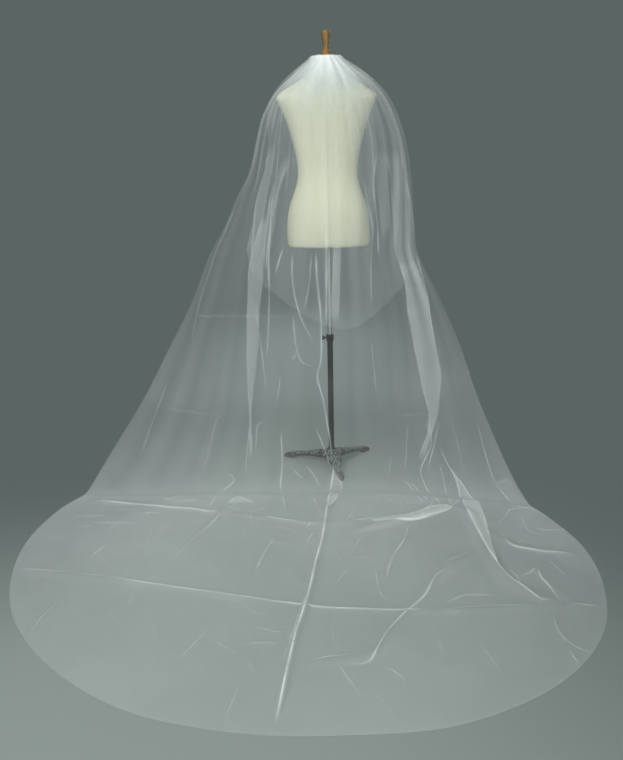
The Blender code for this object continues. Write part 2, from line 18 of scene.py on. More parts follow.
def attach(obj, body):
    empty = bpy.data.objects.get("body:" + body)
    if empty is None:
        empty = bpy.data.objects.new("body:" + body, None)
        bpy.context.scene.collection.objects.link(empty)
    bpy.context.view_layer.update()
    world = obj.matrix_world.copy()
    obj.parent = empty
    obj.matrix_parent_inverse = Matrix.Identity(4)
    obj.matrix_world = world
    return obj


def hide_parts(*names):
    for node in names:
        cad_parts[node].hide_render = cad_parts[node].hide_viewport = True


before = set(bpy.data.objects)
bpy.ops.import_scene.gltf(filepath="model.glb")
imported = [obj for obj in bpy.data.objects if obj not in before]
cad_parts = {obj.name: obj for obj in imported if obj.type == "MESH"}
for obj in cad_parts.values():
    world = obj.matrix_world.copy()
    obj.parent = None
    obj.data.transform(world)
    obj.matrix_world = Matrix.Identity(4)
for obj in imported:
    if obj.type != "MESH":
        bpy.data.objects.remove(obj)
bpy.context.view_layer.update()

log = logging.getLogger("veil")

POLE = np.array((0.128, 0.713, 0.0))
NECK_RADIUS = 0.050
NECK_TOP = 1.536
HEADING_LOW = 1.507
HEADING_HIGH = 1.5375
SEAM = 0.0003
TOP_RADIUS = NECK_RADIUS + 0.005
LYING_WALL = 0.002
GATHERED_WALL = 0.0012
TIER_GAP = 0.0018
CLOTH_WALL = 0.0004

Colour = tuple[float, float, float]
Number = Union[float, "Signal"]


# Shader graph


class Signal:
    """A value or colour that runs between shader nodes, used with Python's own operators."""

    def __init__(self, graph: "Graph", socket: bpy.types.NodeSocket) -> None:
        """Keeps the graph and the socket that gives the value."""
        self.graph = graph
        self.socket = socket

    def _math(self, operation: str, first: Number, second: Number) -> "Signal":
        """Adds one Math node on two values."""
        return self.graph.add("Math", {"operation": operation}, {0: first, 1: second})

    def __add__(self, other: Number) -> "Signal":
        """self + other."""
        return self._math("ADD", self, other)

    def __radd__(self, other: Number) -> "Signal":
        """other + self."""
        return self._math("ADD", other, self)

    def __sub__(self, other: Number) -> "Signal":
        """self - other."""
        return self._math("SUBTRACT", self, other)

    def __rsub__(self, other: Number) -> "Signal":
        """other - self."""
        return self._math("SUBTRACT", other, self)

    def __mul__(self, other: Number) -> "Signal":
        """self * other."""
        return self._math("MULTIPLY", self, other)

    def __rmul__(self, other: Number) -> "Signal":
        """other * self."""
        return self._math("MULTIPLY", other, self)

    def __truediv__(self, other: Number) -> "Signal":
        """self / other."""
        return self._math("DIVIDE", self, other)

    def __rtruediv__(self, other: Number) -> "Signal":
        """other / self."""
        return self._math("DIVIDE", other, self)

    def __pow__(self, other: Number) -> "Signal":
        """self ** other."""
        return self._math("POWER", self, other)


class Graph:
    """One material: its node tree, its shader, and the one way in which other nodes are added."""

    def __init__(self, name: str) -> None:
        """Makes an empty node material with a Principled shader."""
        self.material = bpy.data.materials.new(name)
        self.material.use_nodes = True
        self.nodes = self.material.node_tree.nodes
        self.links = self.material.node_tree.links
        self.shader = self.nodes["Principled BSDF"]

    def feed(self, socket: bpy.types.NodeSocket, value: object) -> None:
        """Links a signal to a socket, or sets the socket's own value."""
        if isinstance(value, Signal):
            self.links.new(value.socket, socket)
        else:
            socket.default_value = value

    def add(self, kind: str, settings: dict, inputs: dict, output: Union[int, str] = 0) -> Signal:
        """Adds one node.

        Args:
            kind: the node's type without its ShaderNode prefix.
            settings: its properties; "stops" holds a ramp's places and colours.
            inputs: values or signals by input name or number.
            output: the output that is handed back.

        Returns:
            The chosen output as a signal.
        """
        node = self.nodes.new("ShaderNode" + kind)
        for key, value in settings.items():
            if key == "stops":
                self._set_stops(node.color_ramp, value)
            else:
                setattr(node, key, value)
        for key, value in inputs.items():
            self.feed(node.inputs[key], value)
        return Signal(self, node.outputs[output])

    @staticmethod
    def _set_stops(ramp: bpy.types.ColorRamp, stops: Sequence[tuple[float, Colour]]) -> None:
        """Gives a ramp its stops."""
        while len(ramp.elements) < len(stops):
            ramp.elements.new(1.0)
        for element, (place, colour) in zip(ramp.elements, stops):
            element.position = place
            element.color = (*colour, 1.0)

    def surface(self, **values: object) -> None:
        """Sets or links sockets of the Principled shader, named with underscores."""
        for key, value in values.items():
            self.feed(self.shader.inputs[key.replace("_", " ").title().replace("Ior", "IOR")], value)

    def object_place(self) -> Signal:
        """Object coordinates, which are the row's own metres."""
        return self.add("TexCoord", {}, {}, "Object")

    def stretched(self, place: Signal, scale: Sequence[float], shift: Sequence[float] = (0, 0, 0)) -> Signal:
        """Coordinates scaled by axis."""
        return self.add("Mapping", {}, {"Vector": place, "Scale": scale, "Location": shift})

    def noise(self, place: Signal, scale: float, detail: float = 2.0, roughness: float = 0.5) -> Signal:
        """Noise from 0 to 1."""
        inputs = {"Vector": place, "Scale": scale, "Detail": detail, "Roughness": roughness}
        return self.add("TexNoise", {}, inputs, "Fac")

    def ramp(self, value: Signal, *stops: tuple[float, Colour]) -> Signal:
        """A colour ramp on a value."""
        return self.add("ValToRGB", {"stops": stops}, {"Fac": value}, "Color")

    def span(self, value: Signal, low: float, high: float, start: float = 0.0, end: float = 1.0) -> Signal:
        """A value taken smoothly from one range to another."""
        inputs = {"Value": value, "From Min": low, "From Max": high, "To Min": start, "To Max": end}
        return self.add("MapRange", {"interpolation_type": "SMOOTHSTEP"}, inputs)

    def blend(self, share: Number, first: object, second: object) -> Signal:
        """A colour between two colours."""
        first = (*first, 1.0) if isinstance(first, tuple) else first
        second = (*second, 1.0) if isinstance(second, tuple) else second
        return self.add("Mix", {"data_type": "RGBA"}, {0: share, 6: first, 7: second}, 2)

    def bump(self, height: Signal, strength: float, distance: float) -> Signal:
        """A normal from a height."""
        return self.add("Bump", {}, {"Height": height, "Strength": strength, "Distance": distance})


# Finishes


@dataclass(frozen=True)
class Tulle:
    """Fine sheer net. How much it hides comes from the sheet's own cover attribute."""

    colour: Colour = (0.86, 0.915, 0.90)
    roughness: float = 0.8
    net_pitch: float = 0.0017
    net_contrast: float = 0.55
    slot: str = "tulle"

    def material(self) -> bpy.types.Material:
        """Builds the material.

        Returns:
            A material whose alpha is that of one of the wall's two faces.
        """
        graph = Graph("tulle")
        cut = graph.add("UVMap", {"uv_map": "cut"}, {})
        cover = graph.add("Attribute", {"attribute_name": "cover"}, {}, "Fac")
        face = 1.0 - (1.0 - cover) ** 0.5
        voronoi = {"feature": "DISTANCE_TO_EDGE", "voronoi_dimensions": "2D"}
        cell = {"Vector": cut, "Scale": 1.0 / self.net_pitch, "Randomness": 0.35}
        thread = graph.span(graph.add("TexVoronoi", voronoi, cell, "Distance"), 0.05, 0.22, 1.0, 0.0)
        broad = graph.noise(cut, 9.0, 3.0)
        fine = graph.noise(graph.stretched(cut, (26.0, 5.0, 1.0)), 1.0, 3.0)
        evenness = 0.80 + 0.26 * broad + 0.14 * fine
        net = (1.0 - self.net_contrast * 0.45) + self.net_contrast * thread
        thick = graph.span(cover, 0.25, 0.8, 0.0, 1.0)
        alpha = face * evenness * (net * (1.0 - thick) + thick)
        tone = graph.blend(broad, self.colour, tuple(min(c * 1.05, 0.96) for c in self.colour))
        tone = graph.blend(graph.span(cover, 0.55, 0.95), tone, (0.95, 0.985, 0.965))
        graph.surface(base_color=tone, roughness=self.roughness, alpha=alpha, ior=1.45)
        graph.surface(normal=graph.bump(fine + thread * 0.3, 0.25, 0.0008))
        graph.material.surface_render_method = "BLENDED"
        return graph.material


@dataclass(frozen=True)
class FormCover:
    """Matt cream jersey pulled over the torso."""

    colour: Colour = (0.672, 0.69, 0.522)
    shade: Colour = (0.605, 0.62, 0.450)
    roughness: float = 0.88
    knit: float = 900.0
    slot: str = "form_cover"

    def material(self) -> bpy.types.Material:
        """Builds the material, with its knit, its seams and slight unevenness."""
        graph = Graph("form_cover")
        place = graph.object_place()
        parts = graph.add("SeparateXYZ", {}, {0: place}, "X")
        across = graph.add("Math", {"operation": "ABSOLUTE"}, {0: parts - float(POLE[0])})
        seam = graph.span(across, 0.0006, 0.0022, 0.0, 1.0)
        broad = graph.noise(place, 7.0, 3.0)
        streak = graph.noise(graph.stretched(place, (26.0, 26.0, 2.2)), 1.0, 2.0)
        knit = graph.noise(graph.stretched(place, (1.0, 1.0, 0.55)), self.knit, 1.0)
        tone = graph.blend(broad * 0.6 + streak * 0.5, self.shade, self.colour)
        tone = graph.blend(seam * 0.25 + 0.75, tuple(c * 0.7 for c in self.shade), tone)
        graph.surface(base_color=tone, roughness=self.roughness - 0.06 * knit)
        graph.surface(normal=graph.bump(knit * 0.4 + seam, 0.5, 0.0007))
        return graph.material


@dataclass(frozen=True)
class TurnedWood:
    """Varnished wood, its grain along the turning, with a painted orange glint on its lower ring."""

    dark: Colour = (0.10, 0.052, 0.013)
    light: Colour = (0.225, 0.128, 0.034)
    bead_glint: Colour = (0.31, 0.138, 0.014)
    bead_top: float = 0.026
    slot: str = "turned_wood"

    def material(self) -> bpy.types.Material:
        """Builds the material."""
        graph = Graph("turned_wood")
        place = graph.object_place()
        height = graph.add("SeparateXYZ", {}, {0: place}, "Z") - NECK_TOP
        warp = graph.noise(graph.stretched(place, (60.0, 60.0, 6.0)), 1.0, 3.0)
        grain = graph.noise(graph.stretched(place, (420.0, 420.0, 20.0)), 1.0, 4.0, 0.6)
        shade = graph.span(warp * 0.5 + grain * 0.6, 0.35, 0.75)
        tone = graph.ramp(shade, (0.0, self.dark), (0.45, self.light), (1.0, tuple(c * 1.2 for c in self.light)))
        # Painted glint: below bead_top the wood is coloured a brighter orange.
        low = graph.span(height, self.bead_top - 0.003, self.bead_top + 0.002, 0.75, 0.0)
        tone = graph.blend(low * (0.4 + 0.6 * shade), tone, self.bead_glint)
        graph.surface(base_color=tone, roughness=0.36 + 0.2 * grain, coat_weight=0.15, coat_roughness=0.2)
        graph.surface(normal=graph.bump(grain, 0.25, 0.0005))
        return graph.material


@dataclass(frozen=True)
class Metal:
    """Metal or painted metal with a fine surface and patches of wear; where its relief stands out it takes a lighter
    colour, as wear and as a painted highlight.
    """

    name: str
    slot: str
    colour: Colour
    wear_and_highlight: Colour
    roughness: float
    metallic: float
    grain: float = 400.0
    grain_depth: float = 0.0003
    wear: float = 0.35
    shine: float = 0.5
    relief: bool = False
    patch: float = 38.0

    def material(self) -> bpy.types.Material:
        """Builds the material."""
        graph = Graph(self.name)
        place = graph.object_place()
        fine = graph.noise(place, self.grain, 3.0)
        broad = graph.noise(place, self.patch, 4.0, 0.62)
        patches = graph.span(broad * 0.7 + fine * 0.3, 0.42, 0.62)
        share = self.wear * patches
        # Wear and painted highlight: raised relief on upward faces takes the lighter colour.
        if self.relief:
            raised = graph.add("Attribute", {"attribute_name": "relief"}, {}, "Fac")
            share = share * (0.3 + 0.7 * raised) + graph.span(raised * 0.5 + broad * 0.6 + fine * 0.3, 0.74, 0.90) * 0.7
        tone = graph.blend(share, self.colour, self.wear_and_highlight)
        graph.surface(base_color=tone, roughness=self.roughness + 0.14 * (fine - 0.5) - 0.08 * share)
        graph.surface(metallic=self.metallic, specular_ior_level=self.shine)
        graph.surface(specular_tint=(0.80, 1.0, 0.95, 1.0))
        graph.surface(normal=graph.bump(fine + 0.5 * broad, 0.5, self.grain_depth))
        return graph.material


STEEL = Metal("brushed_steel", "steel_rod", (0.40, 0.43, 0.425), (0.46, 0.49, 0.485), 0.55, 0.85, 90.0, 0.00002)
PAINT = Metal("black_paint", "black_paint", (0.006, 0.0085, 0.0085), (0.012, 0.0155, 0.0155), 0.5, 0.0, 700.0, 0.0001,
              shine=0.08)
KNOB = Metal("knob_plastic", "knob_plastic", (0.012, 0.014, 0.014), (0.02, 0.022, 0.022), 0.24, 0.0, 900.0, 0.0001)
# The iron's lighter colour is wear and a painted highlight on its upward relief.
IRON = Metal("cast_iron", "cast_base", (0.003, 0.005, 0.0045), (0.27, 0.33, 0.315), 0.50, 0.0, 420.0, 0.0008,
             wear=0.3, shine=0.06, relief=True, patch=105.0)


# Mesh helpers


def between(rows: np.ndarray, place: Union[float, np.ndarray]) -> np.ndarray:
    """The values of a table at fractional row numbers, on a smooth curve through its rows."""
    place = np.asarray(place, float)
    last = len(rows) - 1
    first = np.clip(place.astype(int), 0, last - 1)
    share = (place - first)[..., None]
    a, b, c, d = (rows[np.clip(first + step, 0, last)] for step in (-1, 0, 1, 2))
    curve = 2 * b + (c - a) * share + (2 * a - 5 * b + 4 * c - d) * share**2
    return (curve + (3 * b - a - 3 * c + d) * share**3) / 2


def unit(vectors: np.ndarray) -> np.ndarray:
    """Vectors made one long."""
    return vectors / np.maximum(np.linalg.norm(vectors, axis=-1, keepdims=True), 1e-12)


def smooth(value: np.ndarray, low: float, high: float) -> np.ndarray:
    """0 below low, 1 above high, and a smooth step between."""
    share = np.clip((value - low) / (high - low), 0.0, 1.0)
    return share * share * (3 - 2 * share)


def follow(points: Sequence[Sequence[float]], step: float) -> np.ndarray:
    """Points at even steps on a smooth curve through a few flat points."""
    rows = np.array(points, float)
    fine = between(rows, np.linspace(0, len(rows) - 1, 12 * (len(rows) - 1) + 1))
    run = np.concatenate([[0.0], np.cumsum(np.linalg.norm(np.diff(fine, axis=0), axis=1))])
    count = max(int(round(run[-1] / step)), 1)
    at = np.linspace(0, run[-1], count + 1)
    return np.stack([np.interp(at, run, fine[:, k]) for k in range(rows.shape[1])], axis=1)


def near_line(points: np.ndarray, line: np.ndarray) -> tuple[np.ndarray, np.ndarray]:
    """How far flat points lie from a run of straight stretches, and where along it they are nearest.

    Returns:
        The distances and the lengths along the line.
    """
    best = np.full(len(points), 1e9)
    along = np.zeros(len(points))
    done = 0.0
    for start, end in zip(line[:-1], line[1:]):
        run = end - start
        length = math.hypot(*run)
        share = np.clip(((points - start) @ run) / length**2, 0.0, 1.0)
        gap = np.linalg.norm(points - start - share[:, None] * run, axis=1)
        closer = gap < best
        best[closer] = gap[closer]
        along[closer] = done + share[closer] * length
        done += length
    return best, along


def inside(points: np.ndarray, outline: np.ndarray) -> np.ndarray:
    """Which flat points lie within a closed outline."""
    odd = np.zeros(len(points), bool)
    for a, b in zip(outline, np.roll(outline, -1, axis=0)):
        if a[1] == b[1]:
            continue
        level = (a[1] > points[:, 1]) != (b[1] > points[:, 1])
        odd ^= level & (points[:, 0] < a[0] + (points[:, 1] - a[1]) / (b[1] - a[1]) * (b[0] - a[0]))
    return odd


def deselect() -> None:
    """Leaves nothing selected, in object mode."""
    if bpy.context.object and bpy.context.object.mode != "OBJECT":
        bpy.ops.object.mode_set(mode="OBJECT")
    bpy.ops.object.select_all(action="DESELECT")


def dress(item: bpy.types.Object, finish: object, nodes: Iterable[str] = ()) -> bpy.types.Object:
    """Gives a piece its finish and its body, and lets it stand for CAD nodes."""
    item.data.materials.clear()
    item.data.materials.append(finish.material())
    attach(item, "root")
    if nodes:
        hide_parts(*nodes)
    return item


# Cloth


class Crease(NamedTuple):
    """A fold line: its points, how much it hides, how high it stands and its half width."""

    points: tuple
    cover: float = 0.30
    width: float = 0.0022
    rise: float = 0.0022


class Band(NamedTuple):
    """A strip of doubled cloth between two lines, each given as places across at levels along."""

    left: tuple
    right: tuple
    layers: float = 4.0
    lift: float = 0.003
    edge: float = 0.24


class Patch(NamedTuple):
    """An area of doubled cloth: its outline, how many layers it shows and how soft its edge is."""

    points: tuple
    layers: float = 3.0
    soft: float = 0.0016


class Spacing:
    """Keeps points apart: a grid of cells that remembers what has been taken."""

    def __init__(self, cell: float) -> None:
        """Starts with nothing taken."""
        self.cell = cell
        self.taken: dict[tuple[int, int], list[tuple[float, float]]] = {}

    def free(self, x: float, y: float, gap: float) -> bool:
        """True if nothing lies within a gap of a point. The gap is at most one cell."""
        i, j = int(x // self.cell), int(y // self.cell)
        for di in (-1, 0, 1):
            for dj in (-1, 0, 1):
                for px, py in self.taken.get((i + di, j + dj), ()):
                    if (px - x) ** 2 + (py - y) ** 2 < gap * gap:
                        return False
        return True

    def take(self, x: float, y: float) -> None:
        """Remembers a point."""
        self.taken.setdefault((int(x // self.cell), int(y // self.cell)), []).append((x, y))


@dataclass
class ClothSheet:
    """A sheet laid out flat, with points closer along its creases, then put in place as a thin wall."""

    name: str
    wall: float = CLOTH_WALL
    crease_step: float = 0.007
    creases: list[Crease] = field(default_factory=list)

    def lay_out(self, outline: np.ndarray, base: np.ndarray, gaps: np.ndarray) -> tuple[np.ndarray, np.ndarray]:
        """Makes triangles over the flat pattern.

        Args:
            outline: the pattern's edge, counterclockwise.
            base: evenly laid points.
            gaps: how far each of them keeps from crease points and from the edge.

        Returns:
            Flat points and triangles. The outline's points come first, in their order.
        """
        rows, radii = [], []
        for crease in self.creases:
            line = follow(crease.points, self.crease_step)
            run = unit(np.gradient(line, axis=0))
            side = np.stack([-run[:, 1], run[:, 0]], axis=1)
            for offset in (0.0, 1.0, -1.0, 2.3, -2.3):
                rows.append(line + side * offset * crease.width)
                radii.append(np.full(len(line), crease.width * 0.62))
        spacing = Spacing(0.012)
        kept = []
        if rows:
            wanted, radii = np.concatenate(rows), np.concatenate(radii)
            good = inside(wanted, outline)
            good[good] = near_line(wanted[good], np.vstack([outline, outline[:1]]))[0] > 0.0016
            for (x, y), gap in zip(wanted[good].tolist(), radii[good].tolist()):
                if spacing.free(x, y, gap):
                    spacing.take(x, y)
                    kept.append((x, y))
        good = inside(base, outline)
        good[good] = near_line(base[good], np.vstack([outline, outline[:1]]))[0] > gaps[good] * 0.7
        for (x, y), gap in zip(base[good].tolist(), gaps[good].tolist()):
            if spacing.free(x, y, min(gap, 0.011)):
                kept.append((x, y))
        corners = [tuple(point) for point in outline.tolist()]
        ring = list(range(len(corners)))
        flat, _, faces, *_ = geometry.delaunay_2d_cdt(corners + kept, [], [ring], 1, 1e-7)
        return np.array([tuple(point) for point in flat]), np.array([tuple(face) for face in faces])

    def crease_fields(self, flat: np.ndarray) -> tuple[np.ndarray, np.ndarray]:
        """How high each point is lifted by creases, and how much they hide there."""
        rise = np.zeros(len(flat))
        cover = np.zeros(len(flat))
        for crease in self.creases:
            line = follow(crease.points, 0.02)
            reach = crease.width * 2.6
            low, high = line.min(axis=0) - reach, line.max(axis=0) + reach
            close = np.flatnonzero(((flat > low) & (flat < high)).all(axis=1))
            if not len(close):
                continue
            gap, along = near_line(flat[close], line)
            total = np.linalg.norm(np.diff(line, axis=0), axis=1).sum()
            end = smooth(np.minimum(along, total - along), -0.002, min(0.06, total * 0.35))
            core = np.clip(1 - 0.70 * gap / crease.width, 0, 1)
            tail = 0.30 * np.clip(1 - (gap - crease.width) / (1.3 * crease.width), 0, 1)
            shape = np.where(gap <= crease.width * 1.02, core, tail)
            rise[close] = np.maximum(rise[close], crease.rise * shape * end)
            wobble = 0.8 + 0.2 * np.sin(along * 41.0 + 3.0 * crease.points[0][0])
            cover[close] = np.maximum(cover[close], crease.cover * shape**1.5 * end * wobble)
        return rise, cover

    def make(self, points: np.ndarray, faces: np.ndarray, cut: np.ndarray, cover: np.ndarray) -> bpy.types.Object:
        """Makes the closed thin wall.

        Args:
            points: the middle of the wall.
            faces: triangles, counterclockwise seen from outside.
            cut: flat places in metres, for the weave.
            cover: how much the wall hides at each point, 0 to 1.

        Returns:
            The new object, at the origin.
        """
        corner = points[faces]
        face_normals = np.cross(corner[:, 1] - corner[:, 0], corner[:, 2] - corner[:, 0])
        normals = np.zeros_like(points)
        for k in range(3):
            np.add.at(normals, faces[:, k], face_normals)
        normals = unit(normals)
        count = len(points)
        both = np.vstack([points + normals * self.wall / 2, points - normals * self.wall / 2])
        both[:, 2] = np.maximum(both[:, 2], 0.0)
        both[:count, 2] = np.maximum(both[:count, 2], both[count:, 2] + 0.00005 * (both[count:, 2] < 0.0001))
        edges = np.concatenate([faces[:, [0, 1]], faces[:, [1, 2]], faces[:, [2, 0]]])
        keys = edges[:, 0] * count + edges[:, 1]
        back = edges[:, 1] * count + edges[:, 0]
        rim = edges[~np.isin(keys, back)]
        a, b = rim[:, 0], rim[:, 1]
        rims = np.concatenate([np.stack([b, a, a + count], 1), np.stack([b, a + count, b + count], 1)])
        solid = np.concatenate([faces, faces[:, ::-1] + count, rims])
        mesh = bpy.data.meshes.new(self.name)
        mesh.vertices.add(len(both))
        mesh.vertices.foreach_set("co", (both + POLE).astype(np.float32).ravel())
        mesh.loops.add(solid.size)
        mesh.loops.foreach_set("vertex_index", solid.astype(np.int32).ravel())
        mesh.polygons.add(len(solid))
        mesh.polygons.foreach_set("loop_start", np.arange(0, solid.size, 3, dtype=np.int32))
        mesh.update(calc_edges=True)
        mesh.validate()
        places = np.vstack([cut, cut]).astype(np.float32)
        layer = mesh.uv_layers.new(name="cut")
        corners = np.zeros(len(mesh.loops), np.int32)
        mesh.loops.foreach_get("vertex_index", corners)
        layer.data.foreach_set("uv", places[corners].ravel())
        attribute = mesh.attributes.new("cover", "FLOAT", "POINT")
        attribute.data.foreach_set("value", np.concatenate([cover, cover]).astype(np.float32))
        mesh.shade_smooth()
        item = bpy.data.objects.new(self.name, mesh)
        bpy.context.scene.collection.objects.link(item)
        log.info("%s: %d triangles", self.name, len(mesh.polygons))
        return item


class Drape:
    """How the long tier hangs: level rings from the heading to the floor, and its flat pattern."""

    # height, left, right, back, left side, right side, turn, straight, depth
    FALL = np.array((
        (1.534, TOP_RADIUS, TOP_RADIUS, -TOP_RADIUS, 0.0, 0.0, 90, 0.0, 0.0040),
        (1.524, 0.0575, 0.0575, -0.0575, 0.0, 0.0, 90, 0.0, 0.0045),
        (1.508, 0.077, 0.080, -0.069, 0.0, 0.0, 92, 0.0, 0.0055),
        (1.484, 0.108, 0.116, -0.084, 0.0, 0.0, 95, 0.0, 0.0065),
        (1.452, 0.147, 0.157, -0.096, 0.0, 0.0, 98, 0.0, 0.0075),
        (1.420, 0.180, 0.189, -0.104, 0.0, 0.0, 101, 0.0, 0.0085),
        (1.385, 0.206, 0.213, -0.110, 0.0, 0.0, 103, 0.0, 0.0095),
        (1.325, 0.235, 0.242, -0.115, 0.0, 0.0, 104, 0.0, 0.0110),
        (1.245, 0.256, 0.266, -0.117, -0.010, -0.008, 104, 0.0, 0.0120),
        (1.144, 0.284, 0.286, -0.118, -0.030, -0.020, 101, 0.05, 0.0130),
        (1.050, 0.334, 0.298, -0.124, -0.055, -0.035, 97, 0.12, 0.0145),
        (0.950, 0.385, 0.311, -0.131, -0.080, -0.055, 93, 0.22, 0.0160),
        (0.850, 0.442, 0.325, -0.139, -0.108, -0.085, 90, 0.33, 0.0180),
        (0.700, 0.505, 0.396, -0.158, -0.140, -0.140, 90, 0.50, 0.0210),
        (0.530, 0.597, 0.466, -0.182, -0.175, -0.205, 90, 0.70, 0.0230),
        (0.350, 0.696, 0.523, -0.207, -0.210, -0.280, 90, 0.90, 0.0230),
        (0.180, 0.808, 0.590, -0.236, -0.243, -0.345, 90, 1.0, 0.0190),
        (0.080, 0.874, 0.634, -0.258, -0.262, -0.395, 90, 1.0, 0.0130),
        (0.030, 0.906, 0.661, -0.274, -0.272, -0.430, 90, 1.0, 0.0070),
        (0.008, 0.922, 0.675, -0.292, -0.279, -0.452, 90, 1.0, 0.0020),
        (LYING_WALL / 2, 0.931, 0.684, -0.320, -0.292, -0.472, 90, 1.0, 0.0),
    ))
    # share of the width, share of the depth
    LONG_PLEATS = np.array((
        (0.17, 0.55), (0.13, 0.80), (0.12, 0.60), (0.08, 0.45), (0.15, 1.00), (0.12, 0.70), (0.15, 0.90),
        (0.11, 0.75), (0.13, 1.00), (0.14, 0.70), (0.12, 0.85), (0.13, 0.65), (0.20, 1.00), (0.12, 0.75),
        (0.13, 0.60),
    ))
    SHORT_PLEATS = np.array((
        (0.18, 0.60), (0.15, 0.90), (0.19, 0.70), (0.14, 1.00), (0.17, 0.75), (0.16, 0.60), (0.18, 0.95),
        (0.15, 0.80), (0.19, 0.65), (0.15, 1.00), (0.18, 0.75), (0.16, 0.60),
    ))

    def __init__(self) -> None:
        """Measures the drape, for its flat pattern: lengths down the middle and half widths of the rings."""
        self.places = np.linspace(0, len(self.FALL) - 1, 401)
        middle = self.bare(self.places, np.zeros(401))
        self.down = np.concatenate([[0.0], np.cumsum(np.linalg.norm(np.diff(middle, axis=0), axis=1))])
        across = np.linspace(-1, 1, 61)
        rings = self.bare(self.places[:, None], across[None, :])
        self.half = np.linalg.norm(np.diff(rings, axis=1), axis=2).sum(axis=1) / 2
        self.heights = middle[:, 2]

    @staticmethod
    def wave(pleats: np.ndarray, across: np.ndarray) -> np.ndarray:
        """How far out a row of pleats stands, 0 to 1, at places across the cloth from -1 to 1."""
        starts = np.concatenate([[0.0], np.cumsum(pleats[:, 0])])
        spot = np.clip((across + 1) / 2, 0, 1) * starts[-1]
        number = np.clip(np.searchsorted(starts, spot, side="right") - 1, 0, len(pleats) - 1)
        share = (spot - starts[number]) / pleats[number, 0]
        return pleats[number, 1] * (0.5 - 0.5 * np.cos(2 * np.pi * share))

    def bare(self, place: np.ndarray, across: np.ndarray) -> np.ndarray:
        """Points of the drape without pleats, at row numbers and places across."""
        ring = between(self.FALL, place)
        height, left, right, back, left_side, right_side, turn, straight, _ = np.moveaxis(ring, -1, 0)
        angle = np.radians(turn) * across
        reach = np.where(across < 0, left, right)
        side = np.where(across < 0, left_side, right_side)
        x = reach * ((1 - straight) * np.sin(angle) + straight * across)
        y = side - (side - back) * np.cos(angle)
        return np.stack(np.broadcast_arrays(x, y, height), axis=-1)

    def outward(self, place: np.ndarray, across: np.ndarray) -> np.ndarray:
        """The level direction out of the drape."""
        along = self.bare(place, across + 0.004) - self.bare(place, across - 0.004)
        return unit(np.stack([along[..., 1], -along[..., 0], np.zeros_like(along[..., 0])], axis=-1))

    def normal(self, place: np.ndarray, across: np.ndarray) -> np.ndarray:
        """The direction straight out of the bare drape."""
        down = self.bare(np.minimum(place + 0.05, 20), across) - self.bare(np.maximum(place - 0.05, 0), across)
        along = self.bare(place, across + 0.004) - self.bare(place, across - 0.004)
        return unit(np.cross(down, along))

    def depth(self, place: np.ndarray) -> np.ndarray:
        """How deep the pleats are at row numbers."""
        return between(self.FALL[:, 8:], place)[..., 0]

    def flat(self, place: np.ndarray, across: np.ndarray) -> np.ndarray:
        """Places on the flat pattern: across and down, in metres."""
        across = np.asarray(across, float)
        half = np.interp(place, self.places, self.half)
        return np.stack(np.broadcast_arrays(across * half, -np.interp(place, self.places, self.down)), axis=-1)

    def unflat(self, flat: np.ndarray) -> tuple[np.ndarray, np.ndarray]:
        """Row numbers and places across, from places on the flat pattern."""
        place = np.interp(-flat[:, 1], self.down, self.places)
        return place, flat[:, 0] / np.interp(place, self.places, self.half)

    def place_at(self, height: Union[float, np.ndarray]) -> np.ndarray:
        """Row numbers at heights."""
        return np.interp(-np.asarray(height), -self.heights, self.places)

    def pin(self, points: Sequence[Sequence[float]], surface: Callable) -> tuple:
        """Takes points given as x and height, as seen from behind the veil, to the flat pattern.

        Args:
            points: x and height about the pole.
            surface: gives points of the cloth at row numbers and places across.

        Returns:
            Flat points.
        """
        found = []
        for x, height in points:
            place = float(self.place_at(height))
            turn = between(self.FALL, place)[6]
            limit = min(1.0, 88.0 / turn)
            spots = np.linspace(-limit, limit, 401)
            reach = np.maximum.accumulate(surface(np.full(401, place), spots)[:, 0])
            spot = float(np.interp(x, reach, spots))
            found.append(tuple(self.flat(place, spot)))
        return tuple(found)

    def base_points(self, first: float, last: float, fine: float, wide: float) -> tuple[np.ndarray, np.ndarray]:
        """Rows of points over the flat pattern between two row numbers, closer near the heading.

        Returns:
            The points, and how far each keeps from its neighbours.
        """
        points, gaps = [], []
        down = float(np.interp(first, self.places, self.down))
        end = float(np.interp(last, self.places, self.down))
        number = 0
        while down < end:
            step = min(fine + (wide - fine) * down / 0.55, wide)
            half = float(np.interp(down, self.down, self.half))
            count = max(int(2 * half / step), 4)
            row = np.linspace(-half, half, count + 1) + (number % 2) * half / count
            points.append(np.stack([row, np.full(count + 1, -down)], axis=1))
            gaps.append(np.full(count + 1, step * 0.6))
            down += max(step * 0.88, 0.0035)
            number += 1
        return np.concatenate(points), np.concatenate(gaps)


def band_share(band: Band, across: np.ndarray, along: np.ndarray) -> np.ndarray:
    """How far points lie within a strip of doubled cloth, 0 to 1."""
    left = np.array(sorted((level, spot) for spot, level in band.left))
    right = np.array(sorted((level, spot) for spot, level in band.right))
    low, high = max(left[0, 0], right[0, 0]), min(left[-1, 0], right[-1, 0])
    start = np.interp(along, left[:, 0], left[:, 1])
    stop = np.interp(along, right[:, 0], right[:, 1])
    within = smooth(across - start, -0.0012, 0.0012) * smooth(stop - across, -0.0012, 0.0012)
    ends = smooth(along - low, -0.01, 0.05) * smooth(high - along, -0.01, 0.05)
    return within * ends


def patch_share(patch: Patch, points: np.ndarray) -> np.ndarray:
    """How far points lie within an area of doubled cloth, 0 to 1."""
    outline = follow((*patch.points, patch.points[0]), 0.006)
    edge = near_line(points, outline)[0]
    side = np.where(inside(points, outline[:-1]), edge, -edge)
    return smooth(side, -patch.soft, patch.soft)


class Tier(Enum):
    """Which layer of the veil a fold lies in."""

    LONG = "long"
    SHORT = "short"


